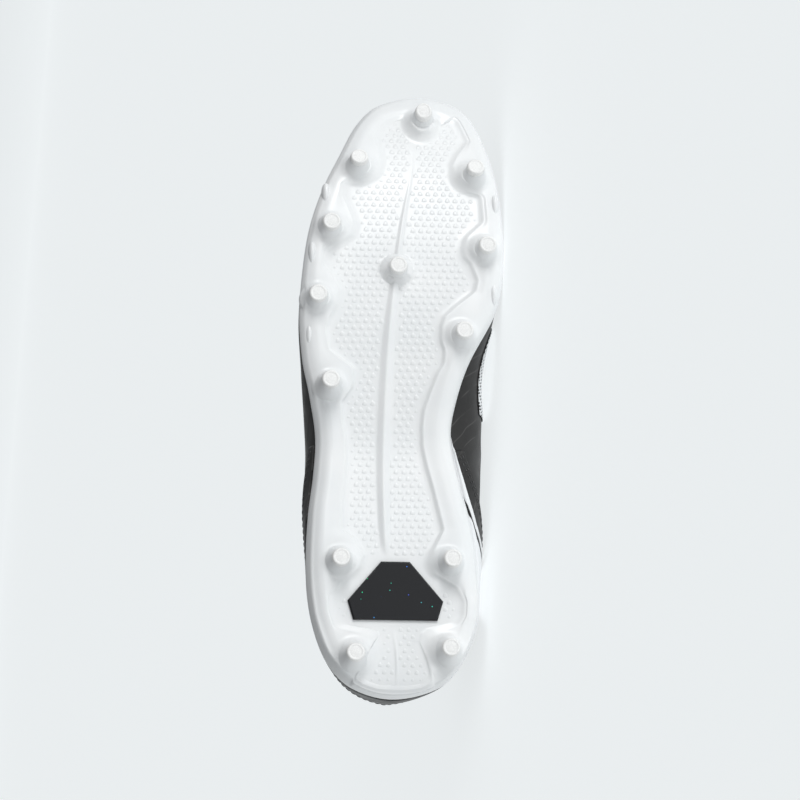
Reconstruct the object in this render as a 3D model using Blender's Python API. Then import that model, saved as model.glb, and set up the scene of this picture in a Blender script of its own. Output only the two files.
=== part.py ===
# American football cleat for the right foot, lying on its medial side.
# It is modelled in the shoe's own frame: +Y to the toe, +X to the outer (lateral) side, +Z up from the
# plane under the studs. An empty then turns the whole shoe over onto its side.

import math
from collections import namedtuple

import bmesh
import bpy
from mathutils import Matrix, Vector

# Driving sizes of the sole, in metres
SOLE_LENGTH = 0.295
BALL_WIDTH = 0.0954
WAIST_WIDTH = 0.0640
HEEL_WIDTH = 0.0800
BALL_LIFT = 0.0115
HEEL_LIFT = 0.0145
ARCH_LIFT = 0.0180
TOE_LIFT = 0.0310
PLATE_WALL = 0.0026
RIM_WALL = 0.0014
RIM_BACK = 0.0140
RIM_SIDE = 0.0045
RIM_FOOT = 0.0066
RAIL_HEIGHT = 0.0024
RAIL_INSET = 0.0090
RAIL_WIDTH = 0.0028
FIELD_INSET = 0.0150
SPINE_HEIGHT = 0.0017
SPINE_WIDTH = 0.0058

# Studs
STUD_LENGTH = 0.0118
STUD_TIP_RADIUS = 0.0038
STUD_TIP_HEIGHT = 0.0026
POD_RADIUS = 0.0105
FIN_LENGTH = 0.0060
FIN_HEIGHT = 0.0032

# Inlay under the heel
INLAY_LENGTH = 0.0270
INLAY_WIDTH = 0.0440
INLAY_THICKNESS = 0.0014

# Upper: heights are measured from the top of the plate under the ball
UPPER_WALL = 0.0018
LASTING_MARGIN = 0.0140
BACK_HEIGHT = 0.0800
ANKLE_HEIGHT = 0.0600
INSTEP_HEIGHT = 0.0785
VAMP_HEIGHT = 0.0510
THROAT_WIDTH = 0.0340
COLLAR_WIDTH = 0.0620
EYESTAY_WIDTH = 0.0145
EYESTAY_WALL = 0.0012
COUNTER_WALL = 0.0012
COLLAR_PAD = 0.0052
COLLAR_DEPTH = 0.0220
TONGUE_WALL = 0.0046
TONGUE_WIDTH = 0.0490
TONGUE_DROP = 0.0028
INSOLE_WALL = 0.0034
EYELET_RADIUS = 0.0021
EYELET_INSET = 0.0072
LACE_WIDTH = 0.0066
LACE_WALL = 0.0013
LACE_END = 0.0021
LACE_CLEARANCE = 0.0008
LACE_ARCH = 0.0010
LACE_RADIUS = 0.0014
LACE_RUN_WIDTH = 0.0050
LACE_RUN_WALL = 0.0010

SEAT_GAP = 0.0003
SKIN_GAP = 0.00035
MARGIN_GAP = 0.0007
COUNTER_LIFT = 0.0022

# Steps round the quarter ellipse of the flank, in degrees from the rail's crest to the rim
FLANK_ANGLES = [0, 27, 50, 70, 90]

RIBS_PER_SIDE = 30
COUNTER_STEPS = 3
FREE_STEPS = 3
CURVE_STEPS = 40
STUD_SIDES = 12

MEDIAL, LATERAL = -1, 1
BASE = BALL_LIFT + PLATE_WALL

EdgePoint = namedtuple("EdgePoint", "along across width")
FieldPoint = namedtuple("FieldPoint", "along height")
RimPoint = namedtuple("RimPoint", "around height")
Stud = namedtuple("Stud", "name along across width on_ground")
StudRing = namedtuple("StudRing", "depth radius inward")
Fin = namedtuple("Fin", "along across")
SpinePoint = namedtuple("SpinePoint", "along across height width")
TopPoint = namedtuple("TopPoint", "around along half middle height")
RibShape = namedtuple("RibShape", "around out_medial out_lateral rise pull drop")
TonguePoint = namedtuple("TonguePoint", "along height width sag wall")
CounterPoint = namedtuple("CounterPoint", "around top")

# The sole's edge in plan, round from the back of the heel, up the medial side and down the lateral one.
# along is a share of the sole's length, across a share of the width named in the row.
SOLE_EDGE = [
    EdgePoint(0.000, 0.025, HEEL_WIDTH),
    EdgePoint(0.017, -0.245, HEEL_WIDTH),
    EdgePoint(0.054, -0.375, HEEL_WIDTH),
    EdgePoint(0.115, -0.462, HEEL_WIDTH),
    EdgePoint(0.185, -0.466, HEEL_WIDTH),
    EdgePoint(0.261, -0.435, HEEL_WIDTH),
    EdgePoint(0.339, -0.456, WAIST_WIDTH),
    EdgePoint(0.417, -0.389, WAIST_WIDTH),
    EdgePoint(0.475, -0.430, WAIST_WIDTH),
    EdgePoint(0.532, -0.347, BALL_WIDTH),
    EdgePoint(0.610, -0.472, BALL_WIDTH),
    EdgePoint(0.660, -0.510, BALL_WIDTH),
    EdgePoint(0.730, -0.521, BALL_WIDTH),
    EdgePoint(0.800, -0.508, BALL_WIDTH),
    EdgePoint(0.880, -0.466, BALL_WIDTH),
    EdgePoint(0.950, -0.394, BALL_WIDTH),
    EdgePoint(0.985, -0.300, BALL_WIDTH),
    EdgePoint(1.000, -0.108, BALL_WIDTH),
    EdgePoint(0.982, 0.095, BALL_WIDTH),
    EdgePoint(0.945, 0.204, BALL_WIDTH),
    EdgePoint(0.880, 0.301, BALL_WIDTH),
    EdgePoint(0.816, 0.388, BALL_WIDTH),
    EdgePoint(0.750, 0.451, BALL_WIDTH),
    EdgePoint(0.680, 0.484, BALL_WIDTH),
    EdgePoint(0.600, 0.499, BALL_WIDTH),
    EdgePoint(0.530, 0.480, BALL_WIDTH),
    EdgePoint(0.475, 0.659, WAIST_WIDTH),
    EdgePoint(0.410, 0.610, WAIST_WIDTH),
    EdgePoint(0.350, 0.622, WAIST_WIDTH),
    EdgePoint(0.280, 0.527, HEEL_WIDTH),
    EdgePoint(0.185, 0.536, HEEL_WIDTH),
    EdgePoint(0.115, 0.500, HEEL_WIDTH),
    EdgePoint(0.054, 0.411, HEEL_WIDTH),
    EdgePoint(0.017, 0.272, HEEL_WIDTH),
]
TOE_ROW = 17

# Height of the plate's underside above the ground, between the rails
FIELD = [
    FieldPoint(0.000, 1.38 * HEEL_LIFT),
    FieldPoint(0.027, 1.14 * HEEL_LIFT),
    FieldPoint(0.060, 1.02 * HEEL_LIFT),
    FieldPoint(0.110, 1.00 * HEEL_LIFT),
    FieldPoint(0.220, 1.00 * HEEL_LIFT),
    FieldPoint(0.330, 0.94 * ARCH_LIFT),
    FieldPoint(0.410, 1.00 * ARCH_LIFT),
    FieldPoint(0.510, 0.78 * ARCH_LIFT),
    FieldPoint(0.600, 1.00 * BALL_LIFT),
    FieldPoint(0.700, 1.00 * BALL_LIFT),
    FieldPoint(0.768, 1.12 * BALL_LIFT),
    FieldPoint(0.835, 0.515 * TOE_LIFT),
    FieldPoint(0.885, 0.640 * TOE_LIFT),
    FieldPoint(0.935, 0.800 * TOE_LIFT),
    FieldPoint(0.975, 0.930 * TOE_LIFT),
    FieldPoint(1.000, 1.00 * TOE_LIFT),
]

# How far the rim turns up above the field, around from the heel's back (0) to the toe's tip (1)
RIM = [
    RimPoint(0.00, RIM_BACK),
    RimPoint(0.12, 0.86 * RIM_BACK),
    RimPoint(0.28, 0.64 * RIM_BACK),
    RimPoint(0.44, 1.35 * RIM_SIDE),
    RimPoint(0.60, 1.00 * RIM_SIDE),
    RimPoint(1.00, 0.92 * RIM_SIDE),
]

# Studs where their tips show; across is a share of the width named
STUDS = [
    Stud("toe", 0.954, -0.120, BALL_WIDTH, False),
    Stud("medial_1", 0.850, -0.370, BALL_WIDTH, False),
    Stud("medial_2", 0.714, -0.420, BALL_WIDTH, True),
    Stud("medial_3", 0.572, -0.303, BALL_WIDTH, True),
    Stud("centre", 0.678, 0.020, BALL_WIDTH, True),
    Stud("lateral_1", 0.862, 0.212, BALL_WIDTH, False),
    Stud("lateral_2", 0.745, 0.352, BALL_WIDTH, True),
    Stud("lateral_3", 0.626, 0.415, BALL_WIDTH, True),
    Stud("lateral_4", 0.487, 0.350, BALL_WIDTH, True),
    Stud("heel_medial_1", 0.207, -0.285, HEEL_WIDTH, True),
    Stud("heel_lateral_1", 0.206, 0.352, HEEL_WIDTH, True),
    Stud("heel_medial_2", 0.069, -0.272, HEEL_WIDTH, True),
    Stud("heel_lateral_2", 0.060, 0.268, HEEL_WIDTH, True),
]

# Each stud's rings, from inside the plate to its end: depth is a share of the stud's length, radius a
# share of the pod's, and the wide foot lies towards the middle of the sole
STUD_RINGS = [
    StudRing(-0.13, 1.04, 0.40),
    StudRing(0.04, 1.02, 0.40),
    StudRing(0.13, 0.90, 0.28),
    StudRing(0.24, 0.69, 0.10),
    StudRing(0.55, 0.54, 0.02),
    StudRing(1.00, 0.41, 0.00),
]

# Small side fins on the flank between the studs
FINS = [
    Fin(0.804, 0.374),
    Fin(0.700, 0.442),
    Fin(0.568, 0.452),
    Fin(0.792, -0.478),
    Fin(0.640, -0.463),
]

# The raised line down the middle
SPINE = [
    SpinePoint(0.000, 0.010, 0.00, 0.20),
    SpinePoint(0.060, 0.018, 0.35, 0.20),
    SpinePoint(0.105, 0.033, 0.00, 0.35),
    SpinePoint(0.215, 0.068, 0.00, 0.55),
    SpinePoint(0.245, 0.074, 0.90, 0.80),
    SpinePoint(0.330, 0.080, 1.00, 1.00),
    SpinePoint(0.450, 0.075, 1.00, 1.05),
    SpinePoint(0.560, 0.060, 0.90, 1.00),
    SpinePoint(0.660, 0.030, 0.70, 0.70),
    SpinePoint(0.760, -0.010, 0.50, 0.45),
    SpinePoint(0.840, -0.055, 0.15, 0.25),
    SpinePoint(0.920, -0.080, 0.00, 0.20),
    SpinePoint(1.000, -0.108, 0.00, 0.20),
]

# The upper's top edge: round the collar, down the throat and to the throat's front end.
# half is half the opening there, middle the centre line's place as a share of the ball's width.
TOPLINE = [
    TopPoint(0.00, 0.024, 0.000 * COLLAR_WIDTH, 0.020, 1.00 * BACK_HEIGHT),
    TopPoint(0.05, 0.033, 0.165 * COLLAR_WIDTH, 0.020, 0.992 * BACK_HEIGHT),
    TopPoint(0.10, 0.060, 0.325 * COLLAR_WIDTH, 0.018, 0.945 * BACK_HEIGHT),
    TopPoint(0.16, 0.108, 0.455 * COLLAR_WIDTH, 0.014, 0.840 * BACK_HEIGHT),
    TopPoint(0.24, 0.186, 0.500 * COLLAR_WIDTH, 0.008, 1.00 * ANKLE_HEIGHT),
    TopPoint(0.30, 0.245, 0.485 * COLLAR_WIDTH, 0.004, 1.02 * ANKLE_HEIGHT),
    TopPoint(0.36, 0.300, 0.425 * COLLAR_WIDTH, 0.000, 0.870 * INSTEP_HEIGHT),
    TopPoint(0.405, 0.333, 0.345 * COLLAR_WIDTH, 0.000, 0.968 * INSTEP_HEIGHT),
    TopPoint(0.44, 0.353, 0.545 * THROAT_WIDTH, 0.000, 1.00 * INSTEP_HEIGHT),
    TopPoint(0.48, 0.392, 0.500 * THROAT_WIDTH, 0.000, 0.972 * INSTEP_HEIGHT),
    TopPoint(0.56, 0.486, 0.440 * THROAT_WIDTH, -0.003, 0.868 * INSTEP_HEIGHT),
    TopPoint(0.64, 0.577, 0.375 * THROAT_WIDTH, -0.010, 1.165 * VAMP_HEIGHT),
    TopPoint(0.70, 0.630, 0.310 * THROAT_WIDTH, -0.015, 1.080 * VAMP_HEIGHT),
    TopPoint(0.80, 0.659, 0.190 * THROAT_WIDTH, -0.018, 1.030 * VAMP_HEIGHT),
    TopPoint(0.90, 0.669, 0.090 * THROAT_WIDTH, -0.020, 1.008 * VAMP_HEIGHT),
    TopPoint(1.00, 0.672, 0.000 * THROAT_WIDTH, -0.020, 1.000 * VAMP_HEIGHT),
]

# Each rib is a cubic from the plate's rim to the top edge. out is how far its two handles stand outside
# the rim, as a share of the ball's width; rise and drop are shares of the instep's height; pull moves the
# upper handle towards the top edge.
RIB_SHAPES = [
    RibShape(0.00, 0.016, 0.016, 0.230, 0.50, 0.280),
    RibShape(0.08, 0.006, -0.014, 0.215, 0.50, 0.255),
    RibShape(0.15, 0.022, -0.022, 0.190, 0.50, 0.230),
    RibShape(0.22, 0.050, -0.010, 0.180, 0.45, 0.215),
    RibShape(0.30, 0.126, 0.034, 0.153, 0.30, 0.215),
    RibShape(0.36, 0.210, 0.079, 0.140, 0.15, 0.230),
    RibShape(0.42, 0.283, 0.089, 0.127, 0.05, 0.250),
    RibShape(0.48, 0.262, 0.068, 0.127, 0.08, 0.205),
    RibShape(0.53, 0.185, 0.042, 0.140, 0.15, 0.155),
    RibShape(0.59, 0.090, 0.050, 0.153, 0.25, 0.115),
    RibShape(0.65, 0.040, 0.055, 0.165, 0.30, 0.100),
    RibShape(0.75, 0.030, 0.045, 0.165, 0.34, 0.100),
    RibShape(0.88, 0.034, 0.038, 0.180, 0.38, 0.105),
    RibShape(1.00, 0.040, 0.040, 0.190, 0.40, 0.115),
]

# The tongue down its middle line: height above the base, and the sag of its edges as a share of width
TONGUE = [
    TonguePoint(0.700, 0.880 * VAMP_HEIGHT, 0.80, 0.100, 0.55),
    TonguePoint(0.665, 0.965 * VAMP_HEIGHT, 0.82, 0.110, 0.80),
    TonguePoint(0.625, 1.040 * VAMP_HEIGHT, 0.84, 0.125, 1.00),
    TonguePoint(0.576, 1.140 * VAMP_HEIGHT, 0.88, 0.135, 1.00),
    TonguePoint(0.485, 0.862 * INSTEP_HEIGHT, 0.92, 0.140, 1.00),
    TonguePoint(0.392, 0.970 * INSTEP_HEIGHT, 0.90, 0.145, 1.05),
    TonguePoint(0.353, 0.990 * INSTEP_HEIGHT, 0.80, 0.120, 1.10),
    TonguePoint(0.325, 1.070 * INSTEP_HEIGHT, 0.78, 0.100, 1.20),
    TonguePoint(0.306, 1.150 * INSTEP_HEIGHT, 0.78, 0.090, 1.20),
    TonguePoint(0.296, 1.210 * INSTEP_HEIGHT, 0.72, 0.080, 0.90),
]

# The heel counter's top edge as a share of each rib from the rim up; it ends at COUNTER_REACH, and
# further forward the same row of points only spaces the skin
COUNTER = [
    CounterPoint(0.00, 0.58),
    CounterPoint(0.10, 0.57),
    CounterPoint(0.20, 0.50),
    CounterPoint(0.28, 0.37),
    CounterPoint(0.35, 0.20),
    CounterPoint(0.41, 0.10),
    CounterPoint(0.50, 0.22),
    CounterPoint(0.70, 0.34),
    CounterPoint(1.00, 0.34),
]
COUNTER_REACH = 0.41
COLLAR_REACH = 0.415
EYESTAY_START = 0.43

# From here the band under the top edge narrows from the collar's depth to the eyestay's width
COLLAR_BAND_END = 0.36

EYELETS = [0.462, 0.502, 0.542, 0.582, 0.622, 0.662]


def smooth(rows, at, column, along="around"):
    """Value of a table's column at a place, on a smooth curve through its rows."""
    xs = [getattr(row, along) for row in rows]
    ys = [getattr(row, column) for row in rows]
    last = len(rows) - 1
    at = min(max(at, xs[0]), xs[-1])
    i = max(k for k in range(last) if xs[k] <= at or k == 0)
    step = xs[i + 1] - xs[i]

    def slope(k):
        low, high = max(k - 1, 0), min(k + 1, last)
        return (ys[high] - ys[low]) / (xs[high] - xs[low])

    t = (at - xs[i]) / step
    return (
        ys[i] * (1 + 2 * t) * (1 - t) ** 2
        + ys[i + 1] * t * t * (3 - 2 * t)
        + slope(i) * step * t * (1 - t) ** 2
        - slope(i + 1) * step * t * t * (1 - t)
    )


def mix(a, b, t):
    return a + (b - a) * t


def closed_curve(points, steps):
    """Points on a smooth closed curve through the given ones, and each given point's index."""
    count = len(points)
    curve = []
    for i in range(count):
        before, here = points[i - 1], points[i]
        after, later = points[(i + 1) % count], points[(i + 2) % count]
        span = (after - here).length
        start = (after - before) / ((after - here).length + (here - before).length) * span
        end = (later - here) / ((later - after).length + (after - here).length) * span
        for k in range(steps):
            t = k / steps
            curve.append(
                here * (1 + 2 * t) * (1 - t) ** 2
                + after * t * t * (3 - 2 * t)
                + start * t * (1 - t) ** 2
                - end * t * t * (1 - t)
            )
    return curve


class SoleEdge:
    """The sole's outline, read by side and by the share of the way round from heel to toe."""

    STEPS = 16

    def __init__(self):
        points = [Vector((row.across * row.width, row.along * SOLE_LENGTH)) for row in SOLE_EDGE]
        curve = closed_curve(points, self.STEPS)
        toe = TOE_ROW * self.STEPS
        self.lines = {MEDIAL: curve[: toe + 1], LATERAL: [curve[0]] + curve[toe:][::-1]}
        self.lengths = {side: self.measure(line) for side, line in self.lines.items()}

    @staticmethod
    def measure(line):
        lengths = [0.0]
        for a, b in zip(line, line[1:]):
            lengths.append(lengths[-1] + (b - a).length)
        return lengths

    def point(self, side, around):
        line, lengths = self.lines[side], self.lengths[side]
        target = min(max(around, 0.0), 1.0) * lengths[-1]
        i = max(k for k in range(len(line) - 1) if lengths[k] <= target or k == 0)
        return mix(line[i], line[i + 1], (target - lengths[i]) / (lengths[i + 1] - lengths[i]))

    def outward(self, side, around):
        """The outline's normal in plan, pointing away from the sole."""
        step = 0.012
        if around < step or around > 1 - step:
            end = 0.0 if around < step else 1.0
            inset = step if end == 0.0 else 1 - step
            along = (self.point(LATERAL, inset) - self.point(MEDIAL, inset)) * (1 if end == 0.0 else -1)
            at_end = Vector((along.y, -along.x)).normalized()
            line = self.point(side, around + step) - self.point(side, around - step)
            on_side = Vector((line.y, -line.x)) * side
            share = min(around, 1 - around) / step
            return mix(at_end, on_side.normalized(), share).normalized()
        line = self.point(side, around + step) - self.point(side, around - step)
        return (Vector((line.y, -line.x)) * side).normalized()


EDGE = SoleEdge()


def field_height(y):
    """The plate's underside between the rails, above the ground."""
    return smooth(FIELD, y / SOLE_LENGTH, "height", "along")


def field_slope(y):
    step = 0.002
    return (field_height(y + step) - field_height(y - step)) / (2 * step)


def rim_height(around):
    return smooth(RIM, around, "height")


def inset_point(side, around, inset, lift):
    """A point inset from the sole's edge, lift above the field there."""
    plan = EDGE.point(side, around) - EDGE.outward(side, around) * inset
    return Vector((plan.x, plan.y, field_height(plan.y) + lift))


def rib_places():
    """Shares of the way round at which ribs stand, closer together at the heel and the toe."""
    places = []
    for k in range(RIBS_PER_SIDE + 1):
        even = k / RIBS_PER_SIDE
        places.append(mix(even, (1 - math.cos(math.pi * even)) / 2, 0.35))
    return places


def around_ring():
    """(side, around) for every rib: up the medial side and back down the lateral one."""
    places = rib_places()
    ring = [(MEDIAL, place) for place in places]
    return ring + [(LATERAL, place) for place in reversed(places[1:-1])]


def top_point(side, around):
    """A point on the upper's top edge."""
    row = {name: smooth(TOPLINE, around, name) for name in ("along", "half", "middle", "height")}
    x = row["middle"] * BALL_WIDTH + side * row["half"]
    return Vector((x, row["along"] * SOLE_LENGTH, BASE + row["height"]))


def rib(side, around):
    """The upper's outer skin along one rib, from the lasting margin to the top edge."""
    rim = rim_height(around)
    points = [
        inset_point(side, around, LASTING_MARGIN, PLATE_WALL + MARGIN_GAP),
        inset_point(side, around, RIM_FOOT, PLATE_WALL + MARGIN_GAP),
        inset_point(side, around, RIM_WALL + 0.0018, 0.90 * PLATE_WALL + 0.40 * rim + SEAT_GAP),
        inset_point(side, around, RIM_WALL + SEAT_GAP, rim + SEAT_GAP),
    ]
    start, end = points[-1], top_point(side, around)
    shape = {name: smooth(RIB_SHAPES, around, name) for name in RibShape._fields[1:]}
    out = shape["out_medial"] if side == MEDIAL else shape["out_lateral"]
    outward = EDGE.outward(side, around).to_3d() * out * BALL_WIDTH
    low = start + outward
    low.z = start.z + shape["rise"] * INSTEP_HEIGHT
    high = mix(start, end, shape["pull"]) + outward
    high.z = end.z - shape["drop"] * INSTEP_HEIGHT
    curve = []
    for step in range(CURVE_STEPS + 1):
        t = step / CURVE_STEPS
        curve.append(
            start * (1 - t) ** 3
            + low * 3 * t * (1 - t) ** 2
            + high * 3 * t * t * (1 - t)
            + end * t**3
        )
    lengths = [0.0]
    for before, after in zip(curve, curve[1:]):
        lengths.append(lengths[-1] + (after - before).length)
    along_band = (around - COLLAR_BAND_END) / (EYESTAY_START - COLLAR_BAND_END)
    band = mix(COLLAR_DEPTH, EYESTAY_WIDTH, min(1.0, max(0.0, along_band))) / lengths[-1]
    counter = min(smooth(COUNTER, around, "top"), 1 - band - 0.08)
    between = [mix(counter, 1 - band, k / FREE_STEPS) for k in range(1, FREE_STEPS)]
    low_shares = [counter * k / COUNTER_STEPS for k in range(1, COUNTER_STEPS + 1)]
    for share in [*low_shares, *between, 1 - band, 1 - band / 2, 1.0]:
        target = share * lengths[-1]
        i = max(k for k in range(CURVE_STEPS) if lengths[k] <= target or k == 0)
        points.append(mix(curve[i], curve[i + 1], (target - lengths[i]) / (lengths[i + 1] - lengths[i])))
    return points


RING = around_ring()
SKIN = [rib(side, around) for side, around in RING]
RIM_ROW = 3
COUNTER_ROW = RIM_ROW + COUNTER_STEPS
BAND_ROW = COUNTER_ROW + FREE_STEPS


def normals(grid, wraps):
    """Outward unit normals of a grid of points, rows round the shoe and columns up it."""
    count, tall = len(grid), len(grid[0])
    found = []
    for i in range(count):
        before = grid[i - 1] if wraps or i else grid[i]
        after = grid[(i + 1) % count] if wraps or i < count - 1 else grid[i]
        row = []
        for j in range(tall):
            along = after[j] - before[j]
            up = grid[i][min(j + 1, tall - 1)] - grid[i][max(j - 1, 0)]
            row.append(up.cross(along).normalized())
        found.append(row)
    return found


SKIN_NORMALS = normals(SKIN, True)


def skin_run(index, first, last, steps):
    """Points and normals on a rib between two distances below its top edge, evenly spaced."""
    points, ups = SKIN[index], SKIN_NORMALS[index]
    lengths = [0.0]
    for j in range(len(points) - 1, 0, -1):
        lengths.append(lengths[-1] + (points[j] - points[j - 1]).length)
    run = []
    for k in range(steps + 1):
        below = mix(first, last, k / steps)
        i = max(n for n in range(len(points) - 1) if lengths[n] <= below or n == 0)
        t = (below - lengths[i]) / (lengths[i + 1] - lengths[i])
        j = len(points) - 1 - i
        run.append((mix(points[j], points[j - 1], t), mix(ups[j], ups[j - 1], t).normalized()))
    return run


def surface(name, colour, roughness, metallic=0.0):
    material = bpy.data.materials.new(name)
    material.use_nodes = True
    shader = material.node_tree.nodes["Principled BSDF"]
    shader.inputs["Base Color"].default_value = (*colour, 1.0)
    shader.inputs["Roughness"].default_value = roughness
    shader.inputs["Metallic"].default_value = metallic
    return material


def add_object(name, mesh_data, material):
    """Links a mesh to the scene under its node's name, smooth except at real edges."""
    item = bpy.data.objects.new(name, mesh_data)
    bpy.context.collection.objects.link(item)
    mesh_data.materials.append(material)
    mesh_data.shade_smooth()
    mesh_data.set_sharp_from_angle(angle=math.radians(38))
    return item


def mesh_from(name, points, faces):
    """A mesh whose faces all point outwards."""
    mesh_data = bpy.data.meshes.new(name)
    mesh_data.from_pydata([tuple(p) for p in points], [], faces)
    work = bmesh.new()
    work.from_mesh(mesh_data)
    bmesh.ops.recalc_face_normals(work, faces=work.faces)
    if work.calc_volume(signed=True) < 0:
        bmesh.ops.reverse_faces(work, faces=work.faces)
    work.to_mesh(mesh_data)
    work.free()
    return mesh_data


def shell(name, outside, inside, wraps, material):
    """A closed solid between two grids of the same size, joined round their edges."""
    count, tall = len(outside), len(outside[0])
    points = [p for row in outside for p in row] + [p for row in inside for p in row]
    half = count * tall

    def at(i, j, inner):
        return (i % count) * tall + j + (half if inner else 0)

    faces = []
    for i in range(count if wraps else count - 1):
        for j in range(tall - 1):
            faces.append([at(i, j, 0), at(i + 1, j, 0), at(i + 1, j + 1, 0), at(i, j + 1, 0)])
            faces.append([at(i, j, 1), at(i, j + 1, 1), at(i + 1, j + 1, 1), at(i + 1, j, 1)])
        for j in (0, tall - 1):
            faces.append([at(i, j, 0), at(i, j, 1), at(i + 1, j, 1), at(i + 1, j, 0)])
    if not wraps:
        for i in (0, count - 1):
            for j in range(tall - 1):
                faces.append([at(i, j, 0), at(i, j + 1, 0), at(i, j + 1, 1), at(i, j, 1)])
    return add_object(name, mesh_from(name, points, faces), material)


def cutter(item):
    item.hide_render = True
    item.display_type = "WIRE"
    return item


def boolean(item, operation, tools, name):
    """One Boolean with every tool in a collection."""
    group = bpy.data.collections.new(name)
    bpy.context.scene.collection.children.link(group)
    for tool in tools:
        bpy.context.collection.objects.unlink(tool)
        group.objects.link(tool)
        cutter(tool)
    modifier = item.modifiers.new(name, "BOOLEAN")
    modifier.operation = operation
    modifier.operand_type = "COLLECTION"
    modifier.collection = group
    modifier.solver = "EXACT"


def frustum(name, centre, axis, rings, sides, material, squash=1.0, heading=None):
    """A closed turned form: rings of (distance along the axis, radius, sideways shift)."""
    turn = axis.to_track_quat("Z", "Y").to_matrix()
    side = heading if heading is not None else turn @ Vector((1, 0, 0))
    side = (side - axis * side.dot(axis)).normalized()
    across = axis.cross(side)
    points, faces = [], []
    for distance, radius, shift in rings:
        middle = centre + axis * distance + side * shift
        for k in range(sides):
            angle = 2 * math.pi * (k + 0.5) / sides
            points.append(middle + side * radius * math.cos(angle) + across * radius * squash * math.sin(angle))
    for i in range(len(rings) - 1):
        for k in range(sides):
            n = (k + 1) % sides
            faces.append([i * sides + k, i * sides + n, (i + 1) * sides + n, (i + 1) * sides + k])
    faces.append(list(range(sides)))
    faces.append([(len(rings) - 1) * sides + k for k in range(sides)])
    return add_object(name, mesh_from(name, points, faces), material)


def spine_column(y, part):
    """A point across the spine at a place along the sole: part is -1, 0 or 1 for foot, crest, foot."""
    row = {n: smooth(SPINE, y / SOLE_LENGTH, n, "along") for n in ("across", "height", "width")}
    x = row["across"] * BALL_WIDTH + part * 0.5 * row["width"] * SPINE_WIDTH
    lift = -row["height"] * SPINE_HEIGHT if part == 0 else 0.0
    return Vector((x, y, field_height(y) + lift))


def outsole(material):
    """The moulded plate: turned-up rim, flank, raised rail, sunk field with its spine, studs and fins."""
    crest = RAIL_INSET - RAIL_WIDTH / 2
    below = [(FIELD_INSET, 0.0, 0.0), (RAIL_INSET + RAIL_WIDTH / 2, 0.0, 1.0)]
    for angle in FLANK_ANGLES:
        climb = 1 - math.cos(math.radians(angle))
        below.append((crest * (1 - math.sin(math.radians(angle))), climb, 1 - climb))
    above = [
        (RIM_WALL, 1.0, 0.0),
        (RIM_WALL + 0.0013, 0.40, 0.8 * PLATE_WALL),
        (RIM_FOOT - 0.0003, 0.0, PLATE_WALL),
    ]
    points, faces = [], []
    rows = len(below) + len(above)
    for side, around in RING:
        rim = rim_height(around)
        for inset, share, rail in below:
            points.append(inset_point(side, around, inset, share * rim - rail * RAIL_HEIGHT))
        for inset, share, lift in above:
            points.append(inset_point(side, around, inset, share * rim + lift))
    count = len(RING)
    for i in range(count):
        n = (i + 1) % count
        for j in range(rows - 1):
            faces.append([i * rows + j, n * rows + j, n * rows + j + 1, i * rows + j + 1])
    last = RIBS_PER_SIDE

    def pair(k):
        return k, (count - k) % count

    def bridge(ring_row, column_points):
        """Closes the space inside a ring with strips from side to side."""
        middle = {}
        for k in range(1, last):
            medial, lateral = pair(k)
            a, b = points[medial * rows + ring_row], points[lateral * rows + ring_row]
            middle[k] = []
            for point in column_points(a, b):
                middle[k].append(len(points))
                points.append(point)
        for k in range(last):
            m0, l0 = pair(k)
            m1, l1 = pair(k + 1)
            here = [m0 * rows + ring_row] if k == 0 else [m0 * rows + ring_row, *middle[k], l0 * rows + ring_row]
            there = (
                [m1 * rows + ring_row]
                if k == last - 1
                else [m1 * rows + ring_row, *middle[k + 1], l1 * rows + ring_row]
            )
            if len(here) == 1:
                faces.extend([here[0], there[j], there[j + 1]] for j in range(len(there) - 1))
            elif len(there) == 1:
                faces.extend([here[j], here[j + 1], there[0]] for j in range(len(here) - 1))
            else:
                faces.extend([here[j], here[j + 1], there[j + 1], there[j]] for j in range(len(here) - 1))

    def spine_points(a, b):
        y = mix(a.y, b.y, 0.5)
        return [spine_column(y, -1), spine_column(y, 0), spine_column(y, 1)]

    def floor_point(a, b):
        y = mix(a.y, b.y, 0.5)
        return [Vector((mix(a.x, b.x, 0.5), y, field_height(y) + PLATE_WALL))]

    bridge(0, spine_points)
    bridge(rows - 1, floor_point)
    return add_object("outsole_plate", mesh_from("outsole_plate", points, faces), material)


def stud_frame(stud):
    """Foot centre, axis towards the ground, length and inward direction of a stud."""
    x, y = stud.across * stud.width, stud.along * SOLE_LENGTH
    lean = math.atan(max(0.0, field_slope(y))) if not stud.on_ground else 0.0
    axis = Vector((0.0, math.sin(lean), -math.cos(lean)))
    length = field_height(y) if stud.on_ground else STUD_LENGTH
    if stud.name == "centre":
        length -= 0.2 * STUD_LENGTH
    foot = Vector((x, y - length * math.sin(lean), 0.0))
    foot.z = field_height(foot.y)
    middle = spine_column(y, 0)
    inward = Vector((middle.x - x, 0.0, 0.0))
    if stud.name == "toe":
        inward = Vector((0.0, -1.0, 0.0))
    return foot, axis, length, inward.normalized()


def stud_body(stud, material):
    foot, axis, length, inward = stud_frame(stud)
    body = length - STUD_TIP_HEIGHT - SEAT_GAP
    shift = 1.0
    if stud.name == "centre":
        shift = 0.0
    elif stud.name.startswith("heel"):
        shift = 0.5
    size = 0.72 if stud.name == "centre" else 1.0
    rings = []
    for ring in STUD_RINGS:
        radius = ring.radius * POD_RADIUS * (size if ring.radius > 0.5 else 1.0)
        rings.append((ring.depth * body, radius, ring.inward * POD_RADIUS * shift))
    return frustum("form_" + stud.name, foot, axis, rings, STUD_SIDES, material, heading=inward)


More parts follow.
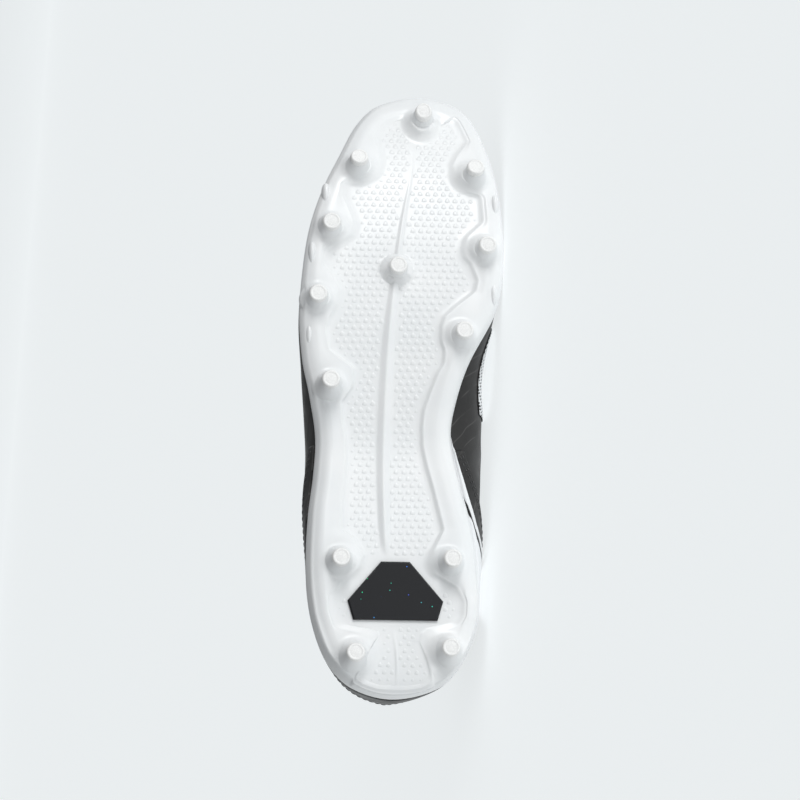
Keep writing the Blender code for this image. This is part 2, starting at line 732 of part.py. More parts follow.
def stud_tip(number, stud, material):
    foot, axis, length, inward = stud_frame(stud)
    edge = 0.0006
    rings = [
        (length - STUD_TIP_HEIGHT, STUD_TIP_RADIUS + edge, 0.0),
        (length - edge, STUD_TIP_RADIUS + 0.3 * edge, 0.0),
        (length, STUD_TIP_RADIUS - edge, 0.0),
    ]
    return frustum(f"stud_tip_{number:02d}", foot, axis, rings, STUD_SIDES - 2, material, heading=inward)


def fin(number, place, material):
    """A small fin on the plate's flank: a low cone drawn out along the sole."""
    x, y = place.across * BALL_WIDTH, place.along * SOLE_LENGTH
    foot = Vector((x, y, field_height(y) + 0.0026))
    rings = [
        (0.0, 0.5 * FIN_LENGTH, 0.0),
        (0.55 * FIN_HEIGHT, 0.42 * FIN_LENGTH, 0.0),
        (FIN_HEIGHT + 0.0008, 0.16 * FIN_LENGTH, 0.0),
    ]
    axis, along = Vector((0.0, 0.0, -1.0)), Vector((0.0, 1.0, 0.0))
    return frustum(f"form_fin_{number}", foot, axis, rings, 8, material, squash=0.42, heading=along)


def heel_inlay(material):
    """The black plaque on the field under the heel, a six-sided plate with a chamfered face."""
    centre_y = 0.161 * SOLE_LENGTH
    centre_x = 0.024 * BALL_WIDTH
    outline = [(-0.5, -0.17), (-0.15, 0.5), (0.15, 0.5), (0.5, -0.17), (0.44, -0.5), (-0.44, -0.5)]
    chamfer = 0.0007
    seat = -2 * SEAT_GAP
    points, faces = [], []
    for drop, shrink in ((seat, 0.0), (seat - INLAY_THICKNESS + chamfer, 0.0), (seat - INLAY_THICKNESS, chamfer)):
        for u, v in outline:
            x = centre_x + u * (INLAY_WIDTH - 2 * shrink)
            y = centre_y + v * (INLAY_LENGTH - 2 * shrink)
            points.append(Vector((x, y, HEEL_LIFT + drop)))
    for level in range(2):
        for k in range(6):
            n = (k + 1) % 6
            faces.append([level * 6 + k, level * 6 + n, level * 6 + 6 + n, level * 6 + 6 + k])
    faces.append(list(range(6)))
    faces.append(list(range(12, 18)))
    return add_object("heel_inlay", mesh_from("heel_inlay", points, faces), material)


def offset_grid(grid, ups, distance):
    return [[p + n * distance for p, n in zip(row, up_row)] for row, up_row in zip(grid, ups)]


def upper(material):
    inner = offset_grid(SKIN, SKIN_NORMALS, -UPPER_WALL)
    return shell("upper", SKIN, inner, True, material)


def overlay(name, indices, first, last, wall, material):
    """A thin piece lying on the skin between two of its rows, on the same points."""
    outside, inside = [], []
    for index in indices:
        run = list(zip(SKIN[index], SKIN_NORMALS[index]))[first : last + 1]
        if first == RIM_ROW:
            (p, n), (q, m) = run[:2]
            share = min(0.8, COUNTER_LIFT / (q - p).length)
            run[0] = (mix(p, q, share), mix(n, m, share).normalized())
        inside.append([p + n * SKIN_GAP for p, n in run])
        outside.append([p + n * (SKIN_GAP + wall) for p, n in run])
    return shell(name, outside, inside, False, material)


def heel_ribs(reach):
    """Indices of the ribs round the heel, from the lateral side to the medial one."""
    half = len(RING) / 2
    found = [i for i, (side, around) in enumerate(RING) if around <= reach]
    return [i for i in found if i > half] + [i for i in found if i <= half]


def eyestay(material):
    indices = [i for i, (side, around) in enumerate(RING) if around >= EYESTAY_START]
    return overlay("eyestay", indices, BAND_ROW, BAND_ROW + 2, EYESTAY_WALL, material)


def heel_counter(material):
    return overlay("heel_counter", heel_ribs(COUNTER_REACH), RIM_ROW, COUNTER_ROW, COUNTER_WALL, material)


def collar_lining(material):
    """The padded lining round the ankle, level with the upper's top edge."""
    pads = [0.22, 0.55, 1.0, 0.55]
    outside, inside = [], []
    for index in heel_ribs(COLLAR_REACH):
        rows = list(zip(SKIN[index], SKIN_NORMALS[index]))[BAND_ROW:]
        run = [rows[0], rows[1], (mix(rows[1][0], rows[2][0], 0.6), mix(rows[1][1], rows[2][1], 0.6)), rows[2]]
        outside.append([p - n * (UPPER_WALL + SKIN_GAP) for p, n in run])
        inside.append([p - n * (UPPER_WALL + SKIN_GAP + pad * COLLAR_PAD) for (p, n), pad in zip(run, pads)])
    return shell("collar_lining", outside, inside, False, material)


def tongue_point(y, s):
    """A point on the tongue at a place along the shoe, s from -1 to 1 across it."""
    share = y / SOLE_LENGTH
    rows = list(reversed(TONGUE))
    row = {n: smooth(rows, share, n, "along") for n in ("height", "width", "sag")}
    half = 0.5 * row["width"] * TONGUE_WIDTH
    drop = row["sag"] * TONGUE_WIDTH * s * s
    return Vector((half * s, y, BASE + row["height"] - TONGUE_DROP - drop))


def tongue(material):
    steps = 6
    outside, inside = [], []
    for row in TONGUE:
        y = row.along * SOLE_LENGTH
        across = [mix(-1, 1, k / steps) for k in range(steps + 1)]
        slope = Vector((0.0, -0.35, -1.0)).normalized()
        top = [tongue_point(y, s) for s in across]
        outside.append(top)
        inside.append(
            [p + slope * row.wall * TONGUE_WALL * (1 - 0.55 * s * s) for p, s in zip(top, across)]
        )
    return shell("tongue", outside, inside, False, material)


def insole(material):
    """The sock liner on the lasting margin, a little dished at its edge."""
    seat = PLATE_WALL + 2 * SEAT_GAP + UPPER_WALL + 0.0004
    rings = [
        (LASTING_MARGIN + 0.006, seat),
        (0.0082, seat),
        (0.0082, seat + INSOLE_WALL),
        (LASTING_MARGIN + 0.006, seat + INSOLE_WALL),
    ]
    points, faces = [], []
    tall = len(rings)
    for side, around in RING:
        rim = rim_height(around)
        for inset, lift in rings:
            points.append(inset_point(side, around, inset, lift + 0.10 * rim * (inset < LASTING_MARGIN)))
    count, last = len(RING), RIBS_PER_SIDE
    for i in range(count):
        n = (i + 1) % count
        for j in range(tall - 1):
            faces.append([i * tall + j, n * tall + j, n * tall + j + 1, i * tall + j + 1])
    for j in (0, tall - 1):
        for k in range(last):
            corners = [k, k + 1, (count - k - 1) % count, (count - k) % count]
            loop = []
            for corner in corners:
                if corner * tall + j not in loop:
                    loop.append(corner * tall + j)
            faces.append(loop)
    return add_object("insole", mesh_from("insole", points, faces), material)


def skin_at(side, around, below):
    """A point and normal on the skin, at a distance below the top edge."""
    places = [(abs(a - around), i) for i, (s, a) in enumerate(RING) if s == side or a in (0.0, 1.0)]
    (d0, i0), (d1, i1) = sorted(places)[:2]
    t = d0 / (d0 + d1)
    p0, n0 = skin_run(i0, below, below, 1)[0]
    p1, n1 = skin_run(i1, below, below, 1)[0]
    return mix(p0, p1, t), mix(n0, n1, t).normalized()


def eyelet_cutters(name, material):
    tools = []
    for number, around in enumerate(EYELETS):
        for side in (MEDIAL, LATERAL):
            centre, up = skin_at(side, around, EYELET_INSET)
            rings = [(-0.006, EYELET_RADIUS, 0.0), (0.006, EYELET_RADIUS, 0.0)]
            tools.append(frustum(f"{name}_{number}_{side + 1}", centre, up, rings, 8, material))
    return tools


def ribbon(name, path, width, wall, material):
    """A flat strip along a path of (point, up) pairs, its underside on the points."""
    outside, inside = [], []
    for i, (point, up) in enumerate(path):
        ahead = path[min(i + 1, len(path) - 1)][0] - path[max(i - 1, 0)][0]
        across = ahead.cross(up).normalized() * width / 2
        outside.append([point - across + up * wall, point + across + up * wall])
        inside.append([point - across, point + across])
    return shell(name, outside, inside, False, material)


def lace_bar(number, around, material):
    """One pass of the lace over the throat, from eyelet to eyelet and arched over the tongue."""
    rise = SKIN_GAP + EYESTAY_WALL + SEAT_GAP + LACE_CLEARANCE
    path = []
    for side in (MEDIAL, LATERAL):
        half = []
        for below in (EYELET_INSET + LACE_END, EYELET_INSET, 0.25 * EYELET_INSET):
            point, up = skin_at(side, around, below)
            half.append((point + up * rise, up))
        path.append(half)
    medial, lateral = path
    middle = mix(medial[-1][0], lateral[-1][0], 0.5)
    middle.z += LACE_ARCH
    up = (medial[-1][1] + lateral[-1][1]).normalized()
    whole = [*medial, (middle, up), *reversed(lateral)]
    return ribbon(f"form_lace_bar_{number}", whole, LACE_WIDTH, LACE_WALL, material)


def lace(material):
    """The lace as one solid: bars over the throat, plugs in the eyelets and the runs hidden under them."""
    under = UPPER_WALL + SEAT_GAP + LACE_CLEARANCE + LACE_RUN_WALL
    rise = SKIN_GAP + EYESTAY_WALL + SEAT_GAP + LACE_CLEARANCE
    pieces = []
    for number, around in enumerate(EYELETS):
        spots = [skin_at(side, around, EYELET_INSET) for side in (MEDIAL, LATERAL)]
        pieces.append(lace_bar(number, around, material))
        for side, (centre, up) in enumerate(spots):
            rings = [(-under + 0.3 * LACE_RUN_WALL, LACE_RADIUS, 0.0), (rise + 0.5 * LACE_WALL, LACE_RADIUS, 0.0)]
            pieces.append(frustum(f"form_lace_plug_{number}_{side}", centre, up, rings, 6, material))
    for side in (MEDIAL, LATERAL):
        steps = 2 * (len(EYELETS) - 1)
        path = []
        for k in range(steps + 1):
            centre, up = skin_at(side, mix(EYELETS[0], EYELETS[-1], k / steps), EYELET_INSET)
            path.append((centre - up * under, up))
        for end, inner in ((0, 1), (-1, -2)):
            beyond = (path[end][0] - path[inner][0]).normalized() * LACE_RADIUS * 1.3
            path[end] = (path[end][0] + beyond, path[end][1])
        pieces.append(ribbon(f"form_lace_run_{side + 1}", path, LACE_RUN_WIDTH, LACE_RUN_WALL, material))
    whole = pieces[0]
    whole.name = "lace"
    boolean(whole, "UNION", pieces[1:], "lace_pieces")
    return whole


def evaluated_points(items):
    """Every vertex of the finished pieces, and their centre of mass."""
    depsgraph = bpy.context.evaluated_depsgraph_get()
    points, moment, mass = [], Vector((0.0, 0.0, 0.0)), 0.0
    for item, density in items:
        shape = item.evaluated_get(depsgraph)
        mesh_data = shape.to_mesh()
        mesh_data.calc_loop_triangles()
        corners = [item.matrix_world @ vertex.co for vertex in mesh_data.vertices]
        points.extend(corners)
        for triangle in mesh_data.loop_triangles:
            a, b, c = (corners[i] for i in triangle.vertices)
            part = a.dot(b.cross(c)) / 6 * density
            mass += part
            moment += (a + b + c) / 4 * part
        shape.to_mesh_clear()
    return points, moment / mass


def resting_turn(points, centre):
    """The turn that lays the shoe on the face of its hull under its medial side."""
    hull = bmesh.new()
    for point in points:
        hull.verts.new(point)
    made = bmesh.ops.convex_hull(hull, input=hull.verts)
    faces = [f for f in made["geom"] if isinstance(f, bmesh.types.BMFace)]
    best, down = -1.0, Vector((-1.0, 0.0, 0.0))
    for face in faces:
        normal = face.normal if (face.verts[0].co - centre).dot(face.normal) > 0 else -face.normal
        foot = centre + normal * (face.verts[0].co - centre).dot(normal)
        corners = [v.co for v in face.verts]
        turns = []
        for a, b in zip(corners, corners[1:] + corners[:1]):
            turns.append((b - a).cross(foot - a).dot(normal))
        inside = all(t >= 0 for t in turns) or all(t <= 0 for t in turns)
        if inside and -normal.x > best:
            best, down = -normal.x, normal.copy()
    hull.free()
    up = -down
    toe = Vector((0.0, 1.0, 0.0))
    toe = (toe - up * toe.dot(up)).normalized()
    return Matrix((toe, up.cross(toe), up)).to_4x4()


def lay_down(items):
    """Parents every piece to one empty and lays the shoe on the floor, its origin under its middle."""
    points, centre = evaluated_points(items)
    turn = resting_turn(points, centre)
    turned = [turn @ point for point in points]
    low = [min(p[k] for p in turned) for k in range(3)]
    high = [max(p[k] for p in turned) for k in range(3)]
    shift = Vector((-(low[0] + high[0]) / 2, -(low[1] + high[1]) / 2, -low[2]))
    holder = bpy.data.objects.new("shoe", None)
    bpy.context.collection.objects.link(holder)
    holder.matrix_world = Matrix.Translation(shift) @ turn
    for item in bpy.data.objects:
        if item.type == "MESH":
            item.parent = holder


def main():
    for item in list(bpy.data.objects):
        bpy.data.objects.remove(item)
    white = surface("white_plastic", (0.86, 0.87, 0.88), 0.28)
    tip_white = surface("stud_tip_white", (0.88, 0.87, 0.85), 0.45)
    black_gloss = surface("black_gloss", (0.01, 0.01, 0.012), 0.12)
    black_skin = surface("black_synthetic", (0.022, 0.021, 0.021), 0.48)
    black_cloth = surface("black_cloth", (0.02, 0.02, 0.021), 0.85)

    plate = outsole(white)
    forms = [stud_body(stud, white) for stud in STUDS]
    forms += [fin(number, place, white) for number, place in enumerate(FINS)]
    boolean(plate, "UNION", forms, "stud_forms")
    tips = [stud_tip(number + 1, stud, tip_white) for number, stud in enumerate(STUDS)]
    inlay = heel_inlay(black_gloss)
    shoe_upper = upper(black_skin)
    boolean(shoe_upper, "DIFFERENCE", eyelet_cutters("hole", black_skin), "upper_holes")
    stay = eyestay(black_skin)
    boolean(stay, "DIFFERENCE", eyelet_cutters("stay_hole", black_skin), "eyestay_holes")
    counter = heel_counter(black_skin)
    lining = collar_lining(black_cloth)
    shoe_tongue = tongue(black_cloth)
    footbed = insole(black_cloth)
    shoe_lace = lace(black_cloth)

    plastic, fabric = 1.15, 0.6
    hard = [plate, *tips, inlay, stay, counter, shoe_upper]
    soft = [lining, shoe_tongue, footbed, shoe_lace]
    lay_down([(item, plastic) for item in hard] + [(item, fabric) for item in soft])


main()
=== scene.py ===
# Looks of an american football cleat for the right foot, lying on its side with its studs to the camera.
# Every surface is worked out in the shoe's own frame (+Y toe, +X outer side, +Z from the studs up to the
# collar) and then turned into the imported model's frame, where the shoe lies down.
import math
import bmesh
import bpy
import numpy as np
from mathutils import Matrix


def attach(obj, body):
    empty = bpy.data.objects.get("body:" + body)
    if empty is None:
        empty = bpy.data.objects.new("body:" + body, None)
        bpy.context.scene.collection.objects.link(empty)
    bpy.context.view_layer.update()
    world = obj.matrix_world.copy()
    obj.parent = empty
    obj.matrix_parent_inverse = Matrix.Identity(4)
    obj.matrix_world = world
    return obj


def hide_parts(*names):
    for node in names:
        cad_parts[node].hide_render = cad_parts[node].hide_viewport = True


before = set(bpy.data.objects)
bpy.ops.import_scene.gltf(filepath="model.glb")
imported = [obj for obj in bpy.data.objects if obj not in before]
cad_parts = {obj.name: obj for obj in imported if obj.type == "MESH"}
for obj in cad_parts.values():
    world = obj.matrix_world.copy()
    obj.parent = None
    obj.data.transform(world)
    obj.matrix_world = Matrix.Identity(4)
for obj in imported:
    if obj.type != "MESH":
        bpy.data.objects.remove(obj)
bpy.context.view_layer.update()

last = dict(length=0.295, ball=0.0954, waist=0.0640, heel=0.0800)
heights = dict(ball=0.0115, heel=0.0145, arch=0.0180, toe=0.0310, plateWall=0.0026,
               back=0.0800, ankle=0.0600, instep=0.0785, vamp=0.0510)
rim = dict(wall=0.0014, back=0.0140, side=0.0045, foot=0.0066)
gaps = dict(seat=0.0003, skin=0.00035, margin=0.0007)
base = heights["ball"] + heights["plateWall"]

# the sole's edge in plan, up the inner side and down the outer: under each width's name, the share of the
# length and the share of that width
edgeParts = [
    ("heel", [(0.000, 0.025), (0.017, -0.245), (0.054, -0.375), (0.115, -0.462), (0.185, -0.466),
              (0.261, -0.435)]),
    ("waist", [(0.339, -0.456), (0.417, -0.389), (0.475, -0.430)]),
    ("ball", [(0.532, -0.347), (0.610, -0.472), (0.660, -0.510), (0.730, -0.521), (0.800, -0.508),
              (0.880, -0.466), (0.950, -0.394), (0.985, -0.300), (1.000, -0.108), (0.982, 0.095),
              (0.945, 0.204), (0.880, 0.301), (0.816, 0.388), (0.750, 0.451), (0.680, 0.484),
              (0.600, 0.499), (0.530, 0.480)]),
    ("waist", [(0.475, 0.659), (0.410, 0.610), (0.350, 0.622)]),
    ("heel", [(0.280, 0.527), (0.185, 0.536), (0.115, 0.500), (0.054, 0.411), (0.017, 0.272)]),
]
toeRow, edgeSteps = 17, 16


def heightTable(rows):
    # a table whose rows end with a share and the name of the height that it is a share of
    return np.array([(*row[:-2], row[-2] * heights[row[-1]]) for row in rows])


# the plate's underside above the ground: share of the length, height
fieldRows = heightTable([
    (0.000, 1.38, "heel"), (0.027, 1.14, "heel"), (0.060, 1.02, "heel"), (0.110, 1.0, "heel"),
    (0.220, 1.0, "heel"), (0.330, 0.94, "arch"), (0.410, 1.0, "arch"), (0.510, 0.78, "arch"),
    (0.600, 1.0, "ball"), (0.700, 1.0, "ball"), (0.768, 1.12, "ball"), (0.835, 0.515, "toe"),
    (0.885, 0.640, "toe"), (0.935, 0.800, "toe"), (0.975, 0.930, "toe"), (1.000, 1.0, "toe"),
])
# how far the rim turns up, from the heel's back (0) to the toe's tip (1)
rimRows = np.array([
    (0.00, rim["back"]), (0.12, 0.86 * rim["back"]), (0.28, 0.64 * rim["back"]),
    (0.44, 1.35 * rim["side"]), (0.60, rim["side"]), (1.00, 0.92 * rim["side"]),
])


def cubic(a, b, leaving, arriving, t):
    # the cubic from a to b with these slopes at its ends
    ends = a * (1 + 2 * t) * (1 - t) ** 2 + b * t * t * (3 - 2 * t)
    return ends + (leaving * t * (1 - t) ** 2 - arriving * t * t * (1 - t))


def through(table, at):
    # a smooth curve through a table's rows: a cubic between each two, its slope at a row the chord past it
    xs, ys = table[:, 0], table[:, 1:]
    slope = np.empty_like(ys)
    slope[1:-1] = (ys[2:] - ys[:-2]) / (xs[2:] - xs[:-2])[:, None]
    slope[0] = (ys[1] - ys[0]) / (xs[1] - xs[0])
    slope[-1] = (ys[-1] - ys[-2]) / (xs[-1] - xs[-2])
    at = np.clip(np.asarray(at, float), xs[0], xs[-1])
    i = np.clip(np.searchsorted(xs, at, "right") - 1, 0, len(xs) - 2)
    step = (xs[i + 1] - xs[i])[..., None]
    t = (at - xs[i])[..., None] / step
    value = cubic(ys[i], ys[i + 1], slope[i] * step, slope[i + 1] * step, t)
    return value[..., 0] if ys.shape[1] == 1 else value


def mix(a, b, t):
    return a + (b - a) * t


def ease(t):
    # 0 below 0, 1 above 1, and the smooth step between
    t = np.clip(t, 0.0, 1.0)
    return t * t * (3 - 2 * t)


def bell(t, power=2):
    # 1 at 0, falling away to both sides
    return np.exp(-(t**power))


def unit(v):
    return v / np.maximum(np.linalg.norm(v, axis=-1, keepdims=True), 1e-12)


def walkedAlong(points):
    # the length walked along a line at each of its points
    return np.concatenate([[0], np.cumsum(np.linalg.norm(np.diff(points, axis=0), axis=1))])


def stacked(*parts):
    # coordinates of any matching shapes as one array
    return np.stack(np.broadcast_arrays(*parts), -1)


def closedCurve(points, steps):
    # a smooth closed curve through the points, steps to each stretch
    before, after, later = np.roll(points, 1, 0), np.roll(points, -1, 0), np.roll(points, -2, 0)
    reach = np.linalg.norm(after - points, axis=1, keepdims=True)
    start = (after - before) / (reach + np.roll(reach, 1, 0)) * reach
    end = (later - points) / (np.roll(reach, -1, 0) + reach) * reach
    t = (np.arange(steps) / steps)[None, :, None]
    return cubic(*(part[:, None] for part in (points, after, start, end)), t).reshape(-1, 2)


edgeKnots = [(x * last[width], y * last["length"]) for width, rows in edgeParts for y, x in rows]
edgeCurve = closedCurve(np.array(edgeKnots), edgeSteps)
edgeClosed = np.vstack([edgeCurve, edgeCurve[:1]])
edgeWalk, toeIndex = walkedAlong(edgeClosed), toeRow * edgeSteps
toeWalk = edgeWalk[toeIndex]
edgePlace = np.concatenate([edgeWalk[:toeIndex + 1] / toeWalk,
                            1 + (edgeWalk[toeIndex + 1:] - toeWalk) / (edgeWalk[-1] - toeWalk)])


def edgeAt(place):
    # the sole's outline by place: 0 at the heel's back, up the inner side to 1 at the toe, back down to 2
    place = np.mod(place, 2.0)
    return np.stack([np.interp(place, edgePlace, edgeClosed[:, k]) for k in range(2)], -1)


def aroundOf(place):
    # the way from the heel's back (0) to the toe (1), the same on both sides
    place = np.mod(place, 2.0)
    return np.where(place <= 1, place, 2 - place)


def sideOf(place):
    # -1 on the inner side, 1 on the outer
    return np.where(np.mod(place, 2.0) <= 1, -1.0, 1.0)


def allRound(count):
    # evenly spaced places round the shoe, and for each the index of the one across from it
    return 2.0 * np.arange(count) / count, (-np.arange(count)) % count


def outwardAt(place, step=0.012):
    # the outline's normal in plan, from the chord a little before to a little after
    line = edgeAt(place + step) - edgeAt(place - step)
    return unit(np.stack([-line[..., 1], line[..., 0]], -1))


def fieldHeight(y):
    # the plate's underside above the ground
    return through(fieldRows, y / last["length"])


def rimHeight(place):
    # how far the rim turns up above the underside
    return through(rimRows, aroundOf(place))


def insetPoint(place, inset, lift):
    # a point inset from the edge, lift above the plate's underside there
    plan = edgeAt(place) - outwardAt(place) * np.broadcast_to(inset, place.shape)[..., None]
    return np.concatenate([plan, (fieldHeight(plan[..., 1]) + lift)[..., None]], -1)


# Studs: name, share of the length, share of a width, that width, whether it reaches the ground
studs = dict(
    length=0.0118, tipRadius=0.0038, tipHeight=0.0026, tipEdge=0.0006, foot=0.0105, centreDrop=0.2,
    rows=[("toe", 0.954, -0.120, "ball", False), ("inner1", 0.850, -0.370, "ball", False),
          ("inner2", 0.714, -0.420, "ball", True), ("inner3", 0.572, -0.303, "ball", True),
          ("centre", 0.678, 0.020, "ball", True), ("outer1", 0.862, 0.212, "ball", False),
          ("outer2", 0.745, 0.352, "ball", True), ("outer3", 0.626, 0.415, "ball", True),
          ("outer4", 0.487, 0.350, "ball", True), ("heelInner1", 0.207, -0.285, "heel", True),
          ("heelOuter1", 0.206, 0.352, "heel", True), ("heelInner2", 0.069, -0.272, "heel", True),
          ("heelOuter2", 0.060, 0.268, "heel", True)],
)
# the raised line down the middle: share of the length, share of the ball's width, height and width shares
spine = dict(
    height=0.0021, width=0.0060,
    rows=np.array([(0.000, 0.010, 0.00, 0.20), (0.060, 0.018, 0.35, 0.20), (0.105, 0.033, 0.00, 0.35),
                   (0.215, 0.068, 0.00, 0.55), (0.245, 0.074, 0.90, 0.80), (0.330, 0.080, 1.00, 1.00),
                   (0.450, 0.075, 1.00, 1.05), (0.560, 0.060, 0.90, 1.00), (0.660, 0.030, 0.70, 0.70),
                   (0.760, -0.010, 0.50, 0.45), (0.840, -0.055, 0.15, 0.25), (0.920, -0.080, 0.00, 0.20),
                   (1.000, -0.108, 0.00, 0.20)]),
)


def spineAt(y):
    # the spine's middle, height and width by place along the shoe
    rows = through(spine["rows"], y / last["length"])
    return rows[..., 0] * last["ball"], rows[..., 1] * spine["height"], rows[..., 2] * spine["width"]


def studFrames():
    # per stud: foot on the plate, axis to the ground, length and the direction towards the sole's middle
    feet, axes, lengths, inward = [], [], [], []
    step = 0.002
    for name, along, across, width, grounded in studs["rows"]:
        x, y = across * last[width], along * last["length"]
        slope = (fieldHeight(y + step) - fieldHeight(y - step)) / (2 * step)
        lean = 0.0 if grounded else math.atan(max(0.0, float(slope)))
        length = float(fieldHeight(y)) if grounded else studs["length"]
        if name == "centre":
            length -= studs["centreDrop"] * studs["length"]
        footY = y - length * math.sin(lean)
        feet.append((x, footY, float(fieldHeight(footY))))
        axes.append((0.0, math.sin(lean), -math.cos(lean)))
        lengths.append(length)
        aside = math.copysign(1.0, spineAt(y)[0] - x)
        inward.append((0.0, -1.0, 0.0) if name == "toe" else (aside, 0.0, 0.0))
    return np.array(feet), np.array(axes), np.array(lengths), np.array(inward)


studFeet, studAxes, studLengths, studInward = studFrames()


def layDown():
    # the turn and shift that lay the shoe down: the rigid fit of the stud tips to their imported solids,
    # whose three rings are at the tip's foot, under its edge and at its end
    ringMean = (3 * studLengths - studs["tipHeight"] - studs["tipEdge"]) / 3
    here, there = studFeet + studAxes * ringMean[:, None], []
    for i in range(len(here)):
        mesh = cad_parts[f"stud_tip_{i + 1:02d}"].data
        points = np.zeros(len(mesh.vertices) * 3)
        mesh.vertices.foreach_get("co", points)
        there.append(np.unique(np.round(points.reshape(-1, 3), 6), axis=0).mean(0))
    there = np.array(there)
    u, _, v = np.linalg.svd((here - here.mean(0)).T @ (there - there.mean(0)))
    turn = (u @ np.diag([1, 1, np.sign(np.linalg.det(u @ v))]) @ v).T
    shift = there.mean(0) - turn @ here.mean(0)
    print("laid down, worst stud off by %.3f mm" % (1000 * np.abs(here @ turn.T + shift - there).max()))
    return turn, shift


turn, shift = layDown()


def toRow(points):
    return np.asarray(points) @ turn.T + shift


# Meshes
def newPiece(name, points, faces, material, slot, uv=None, flatAngle=None):
    # one mesh from whole arrays; points in the shoe's frame, faces all with four corners
    mesh = bpy.data.meshes.new(name)
    mesh.vertices.add(len(points))
    mesh.vertices.foreach_set("co", toRow(points).astype(np.float32).ravel())
    mesh.loops.add(faces.size)
    mesh.loops.foreach_set("vertex_index", faces.astype(np.int32).ravel())
    mesh.polygons.add(len(faces))
    mesh.polygons.foreach_set("loop_start", np.arange(len(faces), dtype=np.int32) * 4)
    if uv is not None:
        layer = mesh.uv_layers.new(name="UVMap")
        layer.data.foreach_set("uv", uv[faces.ravel()].astype(np.float32).ravel())
    mesh.update(calc_edges=True)
    work = bmesh.new()
    work.from_mesh(mesh)
    bmesh.ops.remove_doubles(work, verts=work.verts, dist=2e-6)
    bmesh.ops.dissolve_degenerate(work, edges=work.edges, dist=1e-6)
    if work.calc_volume(signed=True) < 0:
        bmesh.ops.reverse_faces(work, faces=work.faces)
    work.to_mesh(mesh)
    work.free()
    mesh.materials.append(material)
    mesh.shade_smooth()
    if flatAngle:
        mesh.set_sharp_from_angle(angle=math.radians(flatAngle))
    piece = bpy.data.objects.new(name, mesh)
    bpy.context.scene.collection.objects.link(piece)
    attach(piece, "root")
    return piece


def gridFaces(count, tall, wraps, start=0):
    i = np.arange(count if wraps else count - 1)[:, None]
    j = np.arange(tall - 1)[None, :]
    n = (i + 1) % count
    return stacked(i * tall + j, n * tall + j, n * tall + j + 1, i * tall + j + 1).reshape(-1, 4) + start


def joined(grids, wraps=True):
    # the points and faces of several grids as one mesh's
    starts = np.cumsum([0] + [len(grid) * grid.shape[1] for grid in grids])
    faces = [gridFaces(len(grid), grid.shape[1], wraps, start) for grid, start in zip(grids, starts)]
    return np.vstack([grid.reshape(-1, 3) for grid in grids]), np.vstack(faces)


def gridPiece(name, grids, material, slot, flatAngle=None):
    return newPiece(name, *joined(grids), material, slot, None, flatAngle)


def shellPiece(name, outer, inner, wraps, material, slot, uv, flatAngle=None):
    # two grids of the same size, outer then inner, joined round their edges
    count, tall = outer.shape[:2]
    half, top, end = count * tall, tall - 1, (count - 1) * tall
    i, j = np.arange(count if wraps else count - 1), np.arange(tall - 1)
    n = (i + 1) % count
    faces = [gridFaces(count, tall, wraps), gridFaces(count, tall, wraps)[:, ::-1] + half,
             np.stack([i * tall, i * tall + half, n * tall + half, n * tall], -1),
             np.stack([n * tall, n * tall + half, i * tall + half, i * tall], -1) + top]
    if not wraps:
        faces += [np.stack([j, j + 1, j + 1 + half, j + half], -1),
                  np.stack([j, j + half, j + 1 + half, j + 1], -1) + end]
    points = np.vstack([outer.reshape(-1, 3), inner.reshape(-1, 3)])
    uv = np.vstack([uv.reshape(-1, 2)] * 2)
    return newPiece(name, points, np.vstack(faces), material, slot, uv, flatAngle)


def gridNormals(grid, wraps):
    # unit normals of a grid of points, rows round the shoe and columns up it
    along = np.roll(grid, -1, 0) - np.roll(grid, 1, 0) if wraps else np.gradient(grid, axis=0)
    return unit(np.cross(np.gradient(grid, axis=1), along))


def walkedUp(grid):
    # the length walked up each row of a grid
    return np.linalg.norm(np.gradient(grid, axis=1), axis=2).cumsum(1)


def turned(centre, axis, side, rings, sides):
    # a turned form: rings of (distance along the axis, radius), the first and last closing it
    angle = 2 * math.pi * np.arange(sides) / sides
    rings = np.asarray(rings)
    ring = np.cos(angle)[:, None] * side + np.sin(angle)[:, None] * np.cross(axis, side)
    return (centre + rings[:, :1] * axis)[None] + ring[:, None] * rings[None, :, 1:]


# Materials
def shaderOf(material):
    return material.node_tree.nodes["Principled BSDF"]


def newMaterial(name, colour, roughness, **sockets):
    material = bpy.data.materials.new(name)
    material.use_nodes = True
    shader = shaderOf(material)
    shader.inputs["Base Color"].default_value = (*colour, 1)
    shader.inputs["Roughness"].default_value = roughness
    for socket, value in sockets.items():
        shader.inputs[socket.replace("_", " ")].default_value = value
    return material


def addNode(material, kind, links=(), **settings):
    # a node with its values set and its inputs linked: links are (input, node, output)
    node = material.node_tree.nodes.new("ShaderNode" + kind)
    for key, value in settings.items():
        if key.startswith("in_"):
            socket = key[3:].replace("_", " ")
            node.inputs[int(socket) if socket.isdigit() else socket].default_value = value
        else:
            setattr(node, key, value)
    for into, source, output in links:
        material.node_tree.links.new(source.outputs[output], node.inputs[into])
    return node


def feed(material, node, output, socket):
    material.node_tree.links.new(node.outputs[output], shaderOf(material).inputs[socket])


def coords(material, kind="Object", angle=0.0, scale=(1, 1, 1)):
    source = addNode(material, "TexCoord")
    return addNode(material, "Mapping", [(0, source, kind)], in_Scale=scale,
                   in_Rotation=(0, 0, math.radians(angle)))


def addNoise(material, scale, detail, place=None):
    place = place or coords(material)
    return addNode(material, "TexNoise", [(0, place, 0)], in_Scale=scale, in_Detail=detail)


def addCells(material, place, scale, randomness=1.0):
    return addNode(material, "TexVoronoi", [(0, place, 0)], in_Scale=scale, in_Randomness=randomness)


